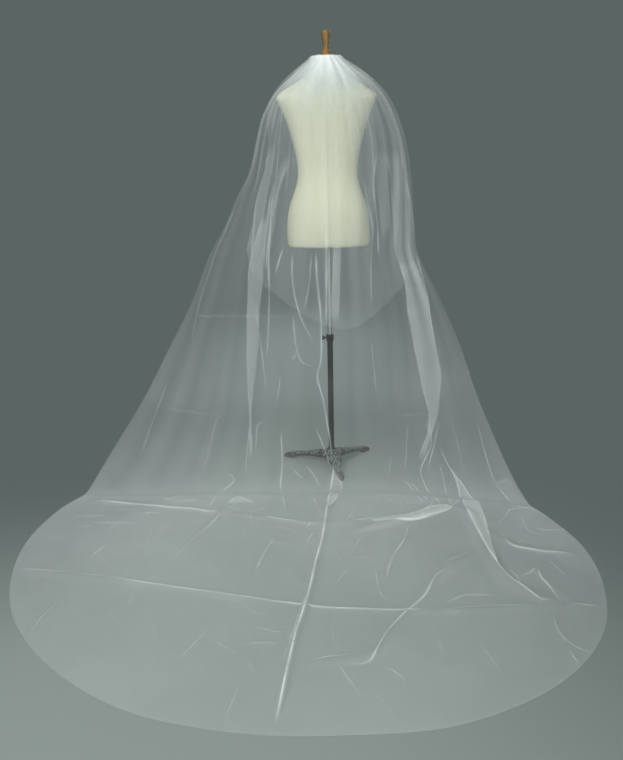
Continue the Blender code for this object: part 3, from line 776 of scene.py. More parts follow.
# Folds that show in the hanging cloth: x and height about the pole, from the top down
HANGING = (
    (Tier.LONG, Crease(((-0.133, 0.873), (-0.138, 0.781), (-0.129, 0.703), (-0.106, 0.625), (-0.062, 0.531)), 0.42)),
    (Tier.LONG, Crease(((-0.208, 0.994), (-0.220, 0.857), (-0.223, 0.719), (-0.231, 0.574), (-0.24, 0.48)), 0.34)),
    (Tier.LONG, Crease((
        (-0.050, 0.871), (-0.048, 0.769), (-0.037, 0.627), (-0.039, 0.480), (-0.054, 0.412), (-0.035, 0.333),
        (-0.022, 0.254), (-0.012, 0.187), (-0.005, 0.100),
    ), 0.50, 0.0026)),
    (Tier.LONG, Crease(((-0.138, 0.650), (-0.131, 0.536), (-0.109, 0.471), (-0.073, 0.456), (-0.055, 0.438)), 0.34)),
    (Tier.LONG, Crease(((-0.127, 0.503), (-0.146, 0.476)), 0.30)),
    (Tier.LONG, Crease(((-0.187, 0.430), (-0.206, 0.320)), 0.28)),
    (Tier.LONG, Crease(((-0.070, 0.237), (-0.028, 0.136), (-0.010, 0.062)), 0.40)),
    (Tier.LONG, Crease(((0.215, 0.131), (0.199, 0.039)), 0.24)),
    (Tier.LONG, Crease(((-0.271, 0.699), (-0.266, 0.617), (-0.253, 0.474), (-0.245, 0.363)), 0.30)),
    (Tier.LONG, Crease(((-0.512, 0.644), (-0.330, 0.640), (-0.113, 0.635)), 0.14, 0.0022, 0.001)),
    (Tier.LONG, Crease(((-0.629, 0.317), (-0.500, 0.290), (-0.363, 0.264)), 0.13, 0.0022, 0.001)),
    (Tier.LONG, Crease(((0.240, 0.268), (0.290, 0.276), (0.347, 0.280)), 0.14, 0.0022, 0.001)),
    (Tier.LONG, Crease(((-0.335, 1.035), (-0.426, 0.836), (-0.474, 0.703), (-0.515, 0.544)), 0.22)),
    (Tier.LONG, Crease(((0.146, 0.560), (0.152, 0.480), (0.165, 0.340)), 0.28)),
    (Tier.LONG, Crease(((-0.600, 0.420), (-0.668, 0.260), (-0.725, 0.120)), 0.18)),
    (Tier.LONG, Crease(((0.420, 0.300), (0.455, 0.160), (0.47, 0.07)), 0.16)),
    (Tier.LONG, Crease(((-0.420, 0.300), (-0.455, 0.180), (-0.480, 0.080)), 0.16)),
    (Tier.LONG, Crease(((-0.310, 0.261), (-0.309, 0.235), (-0.322, 0.142), (-0.326, 0.057)), 0.34)),
    (Tier.LONG, Crease(((-0.229, 0.257), (-0.274, 0.245), (-0.282, 0.230), (-0.292, 0.119)), 0.28)),
    (Tier.LONG, Crease(((-0.195, 0.228), (-0.192, 0.089), (-0.200, 0.020), (-0.190, 0.001)), 0.44, 0.0026)),
    (Tier.LONG, Crease((
        (-0.420, 0.072), (-0.394, 0.065), (-0.370, 0.051), (-0.373, 0.037), (-0.412, 0.007), (-0.425, 0.001),
    ), 0.36, 0.0026)),
    (Tier.LONG, Crease(((-0.111, 0.095), (-0.071, 0.047), (-0.052, 0.005)), 0.36)),
    (Tier.LONG, Crease(((-0.159, 0.085), (-0.112, 0.038)), 0.30)),
    (Tier.LONG, Crease(((-0.005, 0.100), (0.000, 0.080), (-0.003, 0.056), (-0.013, 0.008), (-0.018, 0.001)), 0.66, 0.0034)),
    (Tier.LONG, Crease(((-0.000, 0.064), (0.015, 0.036), (0.031, 0.019), (0.019, 0.001)), 0.34, 0.0024)),
    (Tier.LONG, Crease((
        (0.350, 0.259), (0.356, 0.168), (0.320, 0.085), (0.326, 0.045), (0.338, 0.015), (0.359, 0.001),
    ), 0.52, 0.0024)),
    (Tier.LONG, Crease(((0.384, 0.261), (0.366, 0.170), (0.343, 0.076)), 0.48, 0.0024)),
    (Tier.LONG, Crease(((0.383, 0.174), (0.413, 0.108), (0.442, 0.053), (0.457, 0.001)), 0.54, 0.0024)),
    (Tier.LONG, Crease(((0.436, 0.070), (0.464, 0.042), (0.483, 0.012), (0.500, 0.001)), 0.48, 0.0024)),
    (Tier.LONG, Crease(((0.379, 0.115), (0.396, 0.060), (0.410, 0.001)), 0.36, 0.0026)),
    (Tier.LONG, Crease(((0.444, 0.001), (0.449, 0.004), (0.454, 0.018)), 0.36)),
    (Tier.LONG, Crease(((0.258, 0.040), (0.286, 0.011), (0.299, 0.001)), 0.32)),
    (Tier.LONG, Crease(((0.276, 0.037), (0.306, 0.010), (0.321, 0.001)), 0.32)),
    (Tier.LONG, Crease(((0.275, 0.256), (0.269, 0.140), (0.261, 0.061)), 0.28, 0.0026)),
    (Tier.LONG, Crease(((0.516, 0.268), (0.562, 0.089), (0.575, 0.054), (0.606, 0.017), (0.637, 0.001)), 0.32, 0.0026)),
    (Tier.LONG, Crease(((0.576, 0.058), (0.636, 0.072)), 0.22)),
    (Tier.SHORT, Crease(((-0.165, 0.887), (-0.188, 0.821), (-0.200, 0.779)), 0.44)),
    (Tier.SHORT, Crease(((-0.191, 1.091), (-0.208, 0.994), (-0.220, 0.857), (-0.223, 0.740)), 0.36)),
    (Tier.SHORT, Crease(((-0.064, 0.871), (-0.077, 0.752), (-0.098, 0.654)), 0.34)),
    (Tier.SHORT, Crease(((-0.010, 0.960), (-0.012, 0.870), (-0.017, 0.605)), 0.50, 0.0034)),
    (Tier.SHORT, Crease(((0.171, 1.213), (0.158, 1.090), (0.174, 0.915), (0.178, 0.830)), 0.34)),
    (Tier.SHORT, Crease(((0.121, 1.130), (0.137, 1.030), (0.155, 0.915), (0.146, 0.760), (0.145, 0.665)), 0.28)),
    (Tier.SHORT, Crease(((-0.201, 1.218), (-0.256, 1.110), (-0.283, 1.040), (-0.300, 0.94)), 0.34)),
    (Tier.SHORT, Crease(((-0.142, 1.200), (-0.169, 1.110), (-0.210, 0.958), (-0.228, 0.785)), 0.28)),
    (Tier.SHORT, Crease(((-0.251, 1.090), (-0.274, 0.915), (-0.285, 0.820)), 0.28)),
)
# Areas of doubled cloth on the hanging long tier: x and height about the pole
DOUBLED_AREAS = (
    Patch(((0.000, 0.069), (0.031, 0.019), (0.019, 0.001), (-0.013, 0.001)), 5.0),
    Patch(((0.413, 0.108), (0.442, 0.053), (0.457, 0.001), (0.500, 0.001), (0.483, 0.012), (0.464, 0.042)), 6.0),
    Patch(((0.576, 0.058), (0.636, 0.072), (0.664, 0.001), (0.637, 0.001), (0.606, 0.017)), 2.4),
    Patch(((-0.670, 0.420), (0.300, 0.420), (0.320, 0.320), (-0.720, 0.320)), 1.30, 0.055),
    Patch(((-0.540, 0.640), (-0.113, 0.635), (-0.113, 0.430), (-0.620, 0.430)), 1.15, 0.020),
)
DOUBLED = (
    (Tier.LONG, Band(
        ((-0.240, 1.000), (-0.277, 0.876), (-0.297, 0.786), (-0.306, 0.624), (-0.310, 0.420), (-0.307, 0.279),
         (-0.317, 0.105)),
        ((-0.200, 1.090), (-0.237, 0.875), (-0.245, 0.775), (-0.259, 0.671), (-0.270, 0.519), (-0.292, 0.368),
         (-0.303, 0.279), (-0.304, 0.105)),
        4.2,
    )),
    (Tier.LONG, Band(
        ((0.199, 1.212), (0.239, 0.865), (0.271, 0.753)), ((0.262, 1.212), (0.300, 0.950), (0.345, 0.753)),
        2.4, 0.002, 0.14,
    )),
    (Tier.LONG, Band(
        ((0.245, 0.840), (0.271, 0.753), (0.281, 0.641), (0.304, 0.507), (0.328, 0.375), (0.349, 0.289),
         (0.345, 0.210), (0.310, 0.115)),
        ((0.323, 0.840), (0.331, 0.801), (0.360, 0.644), (0.379, 0.526), (0.397, 0.426), (0.392, 0.364),
         (0.383, 0.288), (0.360, 0.220), (0.332, 0.104)),
        4.6,
    )),
    (Tier.SHORT, Band(
        ((0.008, 1.300), (0.014, 1.100), (0.0165, 0.870)), ((0.028, 1.300), (0.036, 1.100), (0.041, 0.870)),
        1.9, 0.002, 0.05,
    )),
    (Tier.SHORT, Band(((0.0165, 0.900), (-0.002, 0.610)), ((0.041, 0.900), (0.026, 0.610)), 4.2, 0.003, 0.16)),
    (Tier.SHORT, Band(
        ((-0.045, 1.350), (-0.036, 1.100), (-0.030, 0.900)), ((-0.014, 1.350), (-0.006, 1.100), (-0.006, 0.900)),
        2.2, 0.002, 0.04,
    )),
    (Tier.SHORT, Band(
        ((-0.225, 1.240), (-0.270, 1.090), (-0.300, 0.950), (-0.315, 0.850)),
        ((-0.185, 1.240), (-0.215, 1.090), (-0.245, 0.930), (-0.262, 0.850)),
        2.6, 0.002, 0.14,
    )),
    (Tier.SHORT, Band(
        ((-0.150, 1.200), (-0.198, 1.090), (-0.224, 0.950), (-0.238, 0.800)),
        ((-0.130, 1.200), (-0.172, 1.090), (-0.200, 0.950), (-0.224, 0.800)),
        2.2, 0.002, 0.14,
    )),
    (Tier.SHORT, Band(
        ((0.166, 1.220), (0.175, 1.090), (0.190, 0.900)), ((0.200, 1.220), (0.210, 1.090), (0.222, 0.900)),
        2.2, 0.002, 0.10,
    )),
)


@dataclass
class HangingCloth(ClothSheet):
    """What the two tiers share: the drape, its folds and how much the gathered net hides."""

    drape: Drape = field(default_factory=Drape)
    tier: Tier = Tier.LONG
    single: float = 0.060
    gather_layers: float = 60.0
    gather_fall: float = 0.046
    fullness: float = 1.0
    streaks: int = 30
    seed: int = 4

    def surface(self, place: np.ndarray, across: np.ndarray) -> np.ndarray:
        """Points of the pleated cloth; each tier has its own."""
        raise NotImplementedError

    def bands(self) -> list[Band]:
        """The doubled strips of this tier."""
        return [band for tier, band in DOUBLED if tier is self.tier]

    def areas(self) -> tuple:
        """The doubled areas of this tier."""
        return DOUBLED_AREAS if self.tier is Tier.LONG else ()

    def collect_creases(self, reach: Sequence[float]) -> None:
        """Takes the tier's folds, its strips' edges and the fine folds of the gathers to the flat pattern.

        Args:
            reach: places across between which the fine folds run.
        """
        for tier, crease in HANGING:
            if tier is self.tier:
                self.creases.append(crease._replace(points=self.drape.pin(crease.points, self.surface)))
        for band in self.bands():
            for side in (band.left, band.right):
                line = self.drape.pin(side, self.surface)
                self.creases.append(Crease(line, band.edge, 0.0018, 0.0014))
        random = np.random.default_rng(self.seed)
        for number in range(self.streaks):
            spot = reach[0] + (reach[1] - reach[0]) * (number + random.uniform(0.2, 0.8)) / self.streaks
            start = random.uniform(2.0, 3.0)
            stop = start + random.uniform(3.0, 7.5)
            drift = random.uniform(-0.05, 0.05)
            places = np.linspace(start, stop, 5)
            spots = spot + drift * (places - start) / (stop - start)
            line = tuple(tuple(point) for point in self.drape.flat(places, spots))
            width = random.uniform(0.0018, 0.0030)
            self.creases.append(Crease(line, random.uniform(0.06, 0.17), width, 0.0011))

    def ripples(self, place: np.ndarray, across: np.ndarray) -> np.ndarray:
        """Small folds between the pleats, finest at the gathers, in metres out of the cloth."""
        top = np.exp(-place / 4.0)
        fine = np.sin(across * 151 + 1.3 * np.sin(across * 17)) * 0.0009 * top
        middle = np.sin(across * 67 + 0.8 * np.sin(place * 0.9 + across * 5)) * 0.0008 * np.minimum(place / 4, 1)
        broad = np.sin(across * 31 + place * 0.35 + 2.0 * np.sin(across * 7)) * 0.0016 * smooth(place, 6, 14)
        return (fine + middle + broad) * (1 - smooth(place, 17, 19.5))

    def hide(self, place: np.ndarray, across: np.ndarray, tilt: np.ndarray, extra: np.ndarray) -> np.ndarray:
        """How much the net hides at each point.

        Args:
            place: row numbers.
            across: places across.
            tilt: how far the pleated cloth leans from the bare drape, as a cosine.
            extra: layers that the doubled strips add.

        Returns:
            Cover from 0 to 1.
        """
        height = np.interp(place, self.drape.places, self.drape.heights)
        gather = (self.gather_layers - 1) * np.exp((height - 1.534) / self.gather_fall)
        gather *= 0.12 + 0.88 * np.exp(-((across / 0.42) ** 2))
        middle = np.exp(-((across / 0.36) ** 2))
        lean = np.clip(1 / np.maximum(tilt, 0.35), 1.0, 2.4) ** 1.05
        wave = np.tanh(3 * np.sin(across * 23 + 1.7 * np.sin(across * 9) + place * 0.12))
        panel = 1 + (0.06 + 0.10 * smooth(height, 0.5, 0.9)) * wave
        low = 1.7 * (1 - smooth(height, 0.0, 0.30)) * (1 - 0.55 * smooth(across, 0.05, 0.45))
        spread = 0.85 * (1 - smooth(height, 0.40, 0.68)) + low
        spread = 1 + self.fullness * (spread * (1 - 0.8 * middle) - 0.25 * middle * (1 - smooth(height, 0.60, 0.85)))
        layers = (spread + gather + extra) * lean * panel
        return 1 - (1 - self.single) ** layers

    def finish(self, flat: np.ndarray, faces: np.ndarray, near_floor: float) -> bpy.types.Object:
        """Puts the flat pattern in place with its folds, and makes the wall.

        Args:
            flat: flat points.
            faces: triangles.
            near_floor: cover that the cloth comes to where it meets the floor.

        Returns:
            The new object.
        """
        place, across = self.drape.unflat(flat)
        place = np.clip(place, 0, 20)
        points = self.surface(place, across)
        rise, crease_cover = self.crease_fields(flat)
        extra = np.zeros(len(flat))
        for band in self.bands():
            left = [tuple(p) for p in self.drape.pin(band.left, self.surface)]
            right = [tuple(p) for p in self.drape.pin(band.right, self.surface)]
            share = band_share(Band(tuple(left), tuple(right)), flat[:, 0], flat[:, 1])
            extra = np.maximum(extra, share * (band.layers - 1))
            rise = rise + share * band.lift
        for patch in self.areas():
            share = patch_share(patch._replace(points=self.drape.pin(patch.points, self.surface)), flat)
            extra = np.maximum(extra, share * (patch.layers - 1))
        lying = 1 - smooth(place, 18.0, 20.0)
        points = points + self.drape.normal(place, across) * ((rise + self.ripples(place, across)) * lying)[:, None]
        points[:, 2] = np.maximum(points[:, 2], 0.0006)
        corner = points[faces]
        face_normals = np.cross(corner[:, 1] - corner[:, 0], corner[:, 2] - corner[:, 0])
        normals = np.zeros_like(points)
        for k in range(3):
            np.add.at(normals, faces[:, k], face_normals)
        tilt = (unit(normals) * self.drape.normal(place, across)).sum(axis=1)
        cover = self.hide(place, across, tilt, extra)
        low = smooth(place, 15.5, 20.0)
        cover = cover * (1 - low) + np.maximum(cover, near_floor) * low
        cover = 1 - (1 - cover) * (1 - np.minimum(crease_cover * (1 + 0.25 * low), 0.85))
        return self.make(points, faces, flat, np.clip(cover, 0.02, 0.97))


@dataclass
class LongTierFall(HangingCloth):
    """The hanging part of the long tier."""

    name: str = "long_tier_fall"
    landing_steps: int = 220

    def surface(self, place: np.ndarray, across: np.ndarray) -> np.ndarray:
        """Points of the pleated long tier."""
        depth = self.drape.depth(place) * self.drape.wave(self.drape.LONG_PLEATS, across)
        return self.drape.bare(place, across) + self.drape.outward(place, across) * depth[..., None]

    def outline(self) -> np.ndarray:
        """The pattern's edge: down the left side, along the floor, up the right side and round the neck."""
        side = self.drape.flat(np.concatenate([np.arange(0, 2, 0.25), np.arange(2, 20, 0.1)]), -1.0)
        landing = self.drape.flat(np.full(self.landing_steps + 1, 20.0), np.linspace(-1, 1, self.landing_steps + 1))
        right = side[::-1] * (-1, 1)
        top = self.drape.flat(np.zeros(78), np.linspace(1, -1, 80)[1:-1])
        return np.vstack([side, landing, right, top])

    def build(self) -> bpy.types.Object:
        """Builds and dresses the piece."""
        self.collect_creases((-0.97, 0.97))
        outline = self.outline()
        base, gaps = self.drape.base_points(0.15, 19.95, 0.0026, 0.0112)
        flat, faces = self.lay_out(outline, base, gaps)
        item = dress(self.finish(flat, faces, 0.26), Tulle(), ("long_tier_upper", "long_tier_lower"))
        return item


@dataclass
class ShortTier(HangingCloth):
    """The elbow-length tier outside the long one."""

    name: str = "short_tier_cloth"
    tier: Tier = Tier.SHORT
    fullness: float = 0.0
    streaks: int = 24
    seed: int = 9
    depth_share: float = 0.75
    # height, left edge and right edge in degrees from the middle of the back
    edges: tuple = (
        (1.534, -84, 86), (1.420, -74, 88), (1.325, -61, 90), (1.245, -52, 90), (1.100, -53, 87),
        (0.950, -50, 82), (0.850, -49, 76), (0.590, -46, 70),
    )
    # place across and height of the hem
    hem: tuple = (
        (-1.0, 0.870), (-0.93, 0.797), (-0.78, 0.742), (-0.50, 0.661), (-0.25, 0.601), (0.0, 0.589),
        (0.25, 0.635), (0.50, 0.700), (0.75, 0.766), (0.92, 0.812), (1.0, 0.840),
    )

    def sides(self, place: np.ndarray) -> tuple[np.ndarray, np.ndarray]:
        """The places across of the tier's two edges, at row numbers."""
        ring = between(self.drape.FALL, place)
        table = np.array(self.edges)
        left = np.interp(-ring[..., 0], -table[:, 0], table[:, 1]) / ring[..., 6]
        right = np.interp(-ring[..., 0], -table[:, 0], table[:, 2]) / ring[..., 6]
        return left, right

    def surface(self, place: np.ndarray, across: np.ndarray) -> np.ndarray:
        """Points of the pleated short tier, at the long tier's places."""
        left, right = self.sides(place)
        own = np.clip(2 * (across - left) / (right - left) - 1, -1, 1)
        depth = self.drape.depth(place)
        clear = depth + GATHERED_WALL + SEAM + TIER_GAP * np.minimum(place, 1)
        out = depth * self.depth_share * self.drape.wave(self.drape.SHORT_PLEATS, own)
        base = self.drape.bare(place, across) + self.drape.normal(place, across) * clear[..., None]
        return base + self.drape.outward(place, across) * out[..., None]

    def outline(self) -> np.ndarray:
        """The pattern's edge: down the left side, along the rounded hem, up the right side, round the neck."""
        table = np.array(self.hem)
        own = np.linspace(-1, 1, 131)
        places = self.drape.place_at(between(table[:, 1:], np.interp(own, table[:, 0], np.arange(11)))[:, 0])
        left, right = self.sides(places)
        hem = self.drape.flat(places, left + (right - left) * (own + 1) / 2)
        down = np.concatenate([np.arange(0, 2, 0.25), np.arange(2, places[0] - 0.04, 0.1)])
        up = np.concatenate([np.arange(0, 2, 0.25), np.arange(2, places[-1] - 0.04, 0.1)])[::-1]
        left_side = self.drape.flat(down, self.sides(down)[0])
        right_side = self.drape.flat(up, self.sides(up)[1])
        start, end = self.sides(np.zeros(1))
        top = self.drape.flat(np.zeros(68), np.linspace(end[0], start[0], 70)[1:-1])
        return np.vstack([left_side, hem, right_side, top])

    def build(self) -> bpy.types.Object:
        """Builds and dresses the piece."""
        self.collect_creases((-0.55, 0.92))
        base, gaps = self.drape.base_points(0.15, 14.5, 0.0026, 0.0088)
        flat, faces = self.lay_out(self.outline(), base, gaps)
        item = dress(self.finish(flat, faces, 0.0), Tulle(), ("short_tier",))
        return item


class Ridge(NamedTuple):
    """A broad fold of the train: crest points, height and half width."""

    points: tuple
    height: float
    half_width: float


@dataclass
class Train(ClothSheet):
    """The part of the long tier that lies on the floor."""

    name: str = "long_tier_train_cloth"
    drape: Drape = field(default_factory=Drape)
    landing_steps: int = 220
    spacing: float = 0.0118
    single: float = 0.15
    edge_points: tuple = (
        (-0.931, -0.292), (-0.985, -0.420), (-1.014, -0.640), (-0.982, -0.870), (-0.894, -1.095), (-0.735, -1.303),
        (-0.515, -1.470), (-0.265, -1.550), (-0.020, -1.566), (0.230, -1.541), (0.475, -1.418), (0.650, -1.225),
        (0.738, -0.990), (0.759, -0.770), (0.722, -0.580), (0.684, -0.472),
    )
    ridges: tuple = (
        Ridge(((-0.010, -0.360), (-0.048, -0.637), (-0.095, -1.014), (-0.124, -1.180), (-0.165, -1.50)), 0.013, 0.022),
        Ridge(((0.420, -0.470), (0.455, -0.540), (0.452, -0.769), (0.474, -0.978), (0.560, -1.072)), 0.020, 0.036),
        Ridge(((0.400, -0.450), (0.300, -0.535), (0.185, -0.580), (0.057, -0.628)), 0.013, 0.028),
        Ridge(((-0.887, -0.35), (-0.677, -0.389), (-0.405, -0.469), (-0.108, -0.563), (0.100, -0.586)), 0.006, 0.018),
        Ridge(((-0.987, -0.838), (-0.564, -0.942), (-0.156, -1.06), (0.170, -1.109), (0.689, -1.098)), 0.006, 0.018),
        Ridge(((-0.330, -0.400), (-0.398, -0.485), (-0.440, -0.620), (-0.483, -0.773)), 0.010, 0.026),
        Ridge(((0.425, -0.784), (0.268, -0.953), (0.147, -1.146), (0.068, -1.293), (-0.090, -1.325)), 0.009, 0.024),
        Ridge(((0.237, -0.585), (0.218, -0.685), (0.157, -0.832), (0.123, -0.964)), 0.007, 0.022),
        Ridge(((0.495, -0.662), (0.552, -0.760), (0.653, -0.803), (0.718, -0.819)), 0.008, 0.022),
        Ridge(((0.510, -0.941), (0.567, -0.903), (0.590, -1.000), (0.640, -1.130)), 0.007, 0.020),
        Ridge(((-0.204, -0.645), (-0.254, -0.895)), 0.006, 0.020),
        Ridge(((-0.735, -0.524), (-0.776, -0.792)), 0.006, 0.022),
        Ridge(((-0.789, -1.018), (-0.819, -1.196)), 0.006, 0.020),
        Ridge(((0.540, -1.130), (0.545, -1.340)), 0.006, 0.020),
    )
    folds: tuple = (
        Crease(((-0.887, -0.344), (-0.677, -0.400), (-0.522, -0.437), (-0.455, -0.460), (-0.396, -0.468)), 0.38, 0.0026),
        Crease(((-0.396, -0.468), (-0.345, -0.406)), 0.32),
        Crease(((-0.277, -0.500), (-0.204, -0.535), (-0.111, -0.562)), 0.44, 0.0026),
        Crease(((-0.016, -0.560), (0.024, -0.564), (0.074, -0.578)), 0.26),
        Crease((
            (-0.987, -0.838), (-0.777, -0.874), (-0.564, -0.942), (-0.351, -1.004), (-0.156, -1.062),
            (-0.039, -1.091), (0.170, -1.109), (0.246, -1.090),
        ), 0.44, 0.0026),
        Crease(((-0.980, -0.839), (-0.777, -0.874), (-0.600, -0.930)), 0.52, 0.0030),
        Crease(((0.251, -1.088), (0.287, -1.099), (0.386, -1.093), (0.494, -1.097), (0.541, -1.076)), 0.38),
        Crease(((0.606, -1.094), (0.689, -1.104)), 0.34),
        Crease((
            (-0.018, -0.320), (-0.050, -0.674), (-0.074, -0.847), (-0.095, -1.014), (-0.119, -1.159),
            (-0.129, -1.207), (-0.148, -1.362), (-0.168, -1.532),
        ), 0.70, 0.0036, 0.0035),
        Crease(((0.019, -0.320), (0.006, -0.370), (-0.022, -0.456)), 0.34, 0.0024),
        Crease(((-0.117, -1.168), (-0.156, -1.236)), 0.34),
        Crease(((-0.100, -1.010), (-0.135, -1.200), (-0.165, -1.330)), 0.30),
        Crease((
            (0.457, -0.396), (0.449, -0.522), (0.450, -0.734), (0.460, -0.894), (0.479, -0.981), (0.496, -1.010),
            (0.541, -1.076), (0.572, -1.066),
        ), 0.56, 0.0026, 0.0030),
        Crease(((0.500, -0.410), (0.507, -0.442), (0.496, -0.600), (0.476, -0.760), (0.460, -0.894)), 0.50, 0.0024),
        Crease(((0.028, -0.553), (0.120, -0.543), (0.264, -0.504), (0.338, -0.454), (0.407, -0.469)), 0.42),
        Crease(((0.117, -0.585), (0.205, -0.576), (0.277, -0.564), (0.350, -0.518), (0.401, -0.475)), 0.46),
        Crease(((0.410, -0.383), (0.405, -0.469)), 0.38, 0.0026),
        Crease(((0.405, -0.469), (0.441, -0.406), (0.444, -0.392)), 0.40),
        Crease(((0.282, -0.564), (0.330, -0.455), (0.363, -0.381)), 0.36),
        Crease(((0.299, -0.355), (0.316, -0.423)), 0.32),
        Crease(((0.321, -0.359), (0.335, -0.412)), 0.32),
        Crease(((0.359, -0.369), (0.372, -0.435)), 0.48),
        Crease(((-0.190, -0.319), (-0.181, -0.420), (-0.172, -0.518)), 0.42, 0.0026),
        Crease(((-0.425, -0.313), (-0.432, -0.325), (-0.450, -0.435)), 0.36, 0.0026),
        Crease(((-0.396, -0.468), (-0.427, -0.589), (-0.482, -0.711), (-0.514, -0.811)), 0.36),
        Crease(((-0.380, -0.411), (-0.369, -0.350), (-0.347, -0.338), (-0.321, -0.367), (-0.267, -0.408)), 0.30, 0.005),
        Crease(((-0.324, -0.423), (-0.298, -0.464), (-0.254, -0.435), (-0.222, -0.377)), 0.28),
        Crease(((-0.301, -0.468), (-0.277, -0.611)), 0.22),
        Crease(((-0.203, -0.645), (-0.234, -0.784), (-0.254, -0.895)), 0.28, 0.003),
        Crease(((-0.076, -0.620), (-0.107, -0.732)), 0.24, 0.0026),
        Crease(((-0.086, -0.556), (-0.104, -0.603)), 0.24),
        Crease(((-0.084, -0.320), (-0.045, -0.541)), 0.20, 0.0045),
        Crease(((0.027, -0.562), (0.075, -0.452)), 0.26),
        Crease(((-0.735, -0.524), (-0.769, -0.605)), 0.28),
        Crease(((-0.743, -0.680), (-0.776, -0.792)), 0.26),
        Crease(((-0.789, -1.018), (-0.813, -1.110), (-0.819, -1.196)), 0.28),
        Crease(((0.310, -0.867), (0.328, -0.836), (0.370, -0.815), (0.425, -0.775)), 0.24, 0.0036),
        Crease((
            (0.323, -0.881), (0.272, -0.939), (0.224, -1.039), (0.144, -1.146), (0.097, -1.217), (0.064, -1.300),
            (0.043, -1.327), (-0.003, -1.333),
        ), 0.46, 0.0026),
        Crease(((0.237, -0.585), (0.218, -0.685), (0.157, -0.832), (0.123, -0.964)), 0.26, 0.004),
        Crease(((0.102, -0.872), (0.104, -1.011), (0.137, -1.069)), 0.32),
        Crease(((0.086, -0.644), (0.018, -0.826)), 0.26),
        Crease(((0.032, -0.808), (0.119, -0.812)), 0.26),
        Crease(((0.637, -0.455), (0.644, -0.481), (0.685, -0.493)), 0.34),
        Crease((
            (0.496, -0.603), (0.548, -0.585), (0.600, -0.500), (0.644, -0.481), (0.690, -0.493), (0.712, -0.560),
        ), 0.36, 0.0024),
        Crease(((0.630, -0.531), (0.623, -0.663), (0.691, -0.684)), 0.26, 0.0028),
        Crease(((0.646, -0.628), (0.679, -0.657), (0.735, -0.647)), 0.34, 0.0026),
        Crease(((0.494, -0.667), (0.527, -0.668), (0.537, -0.757), (0.610, -0.798), (0.664, -0.811), (0.719, -0.819)),
               0.42, 0.0024),
        Crease(((0.551, -0.748), (0.603, -0.707)), 0.26),
        Crease(((0.270, -1.080), (0.334, -1.037), (0.391, -1.035), (0.431, -1.043)), 0.26, 0.0045),
        Crease(((0.495, -0.889), (0.515, -0.983)), 0.28),
        Crease((
            (0.515, -0.941), (0.554, -0.921), (0.577, -0.896), (0.572, -0.950), (0.582, -1.010), (0.589, -1.078),
            (0.605, -1.105),
        ), 0.38, 0.0024),
        Crease(((0.622, -0.833), (0.651, -0.954)), 0.28),
        Crease(((0.081, -1.336), (0.115, -1.373), (0.131, -1.411)), 0.28),
        Crease(((-0.029, -1.325), (0.000, -1.393), (0.029, -1.462)), 0.24),
        Crease(((-0.098, -1.323), (-0.074, -1.304), (0.017, -1.291)), 0.32),
        Crease(((0.538, -1.299), (0.546, -1.352)), 0.24),
        Crease(((0.550, -1.130), (0.539, -1.244), (0.586, -1.301), (0.610, -1.290)), 0.30),
        Crease(((-0.930, -0.470), (-0.850, -0.476), (-0.780, -0.468)), 0.24),
        Crease(((-0.880, -0.520), (-0.790, -0.532), (-0.650, -0.536)), 0.24),
        Crease(((-0.905, -0.560), (-0.840, -0.556), (-0.800, -0.566)), 0.20),
        Crease(((-0.810, -0.415), (-0.740, -0.428), (-0.690, -0.422)), 0.22),
        Crease(((-0.700, -0.452), (-0.640, -0.462), (-0.600, -0.458)), 0.18),
        Crease(((-0.600, -0.370), (-0.520, -0.362), (-0.470, -0.372)), 0.20),
        Crease(((-0.640, -0.340), (-0.570, -0.346)), 0.20),
        Crease(((-0.240, -0.700), (-0.190, -0.704), (-0.150, -0.698)), 0.18),
        Crease(((-0.230, -0.560), (-0.160, -0.610), (-0.110, -0.640)), 0.20),
        Crease(((-0.300, -1.020), (-0.250, -1.090), (-0.180, -1.120)), 0.16),
        Crease(((-0.250, -1.160), (-0.180, -1.190), (-0.140, -1.185)), 0.20),
        Crease(((-0.270, -1.240), (-0.200, -1.236), (-0.160, -1.252)), 0.18),
        Crease(((-0.560, -0.520), (-0.640, -0.760)), 0.16),
        Crease(((-0.350, -1.150), (-0.420, -1.320)), 0.16),
        Crease(((0.330, -1.250), (0.360, -1.400)), 0.16),
    )
    areas: tuple = (
        Patch(((0.019, -0.320), (-0.022, -0.456), (-0.020, -0.320)), 4.2),
        Patch((
            (0.457, -0.396), (0.449, -0.522), (0.450, -0.734), (0.460, -0.894), (0.476, -0.760), (0.496, -0.600),
            (0.507, -0.442), (0.500, -0.410),
        ), 4.4),
        Patch((
            (0.100, -0.560), (0.264, -0.504), (0.338, -0.454), (0.407, -0.469), (0.350, -0.518), (0.277, -0.564),
            (0.205, -0.576),
        ), 4.4),
        Patch(((0.664, -0.462), (0.692, -0.480), (0.644, -0.481), (0.637, -0.452)), 1.6),
        Patch(((-0.388, -0.392), (-0.362, -0.343), (-0.330, -0.348), (-0.296, -0.390), (-0.345, -0.402)), 2.4),
    )
    minor_folds: int = 46
    seed: int = 21

    def outline(self) -> np.ndarray:
        """The train's edge on the floor, then the line where the hanging cloth lands, from right to left."""
        edge = follow(self.edge_points, 0.0105)
        landing = self.drape.bare(np.full(self.landing_steps + 1, 20.0), np.linspace(1, -1, self.landing_steps + 1))
        edge[0], edge[-1] = landing[-1, :2], landing[0, :2]
        return np.vstack([edge, landing[1:-1, :2]])

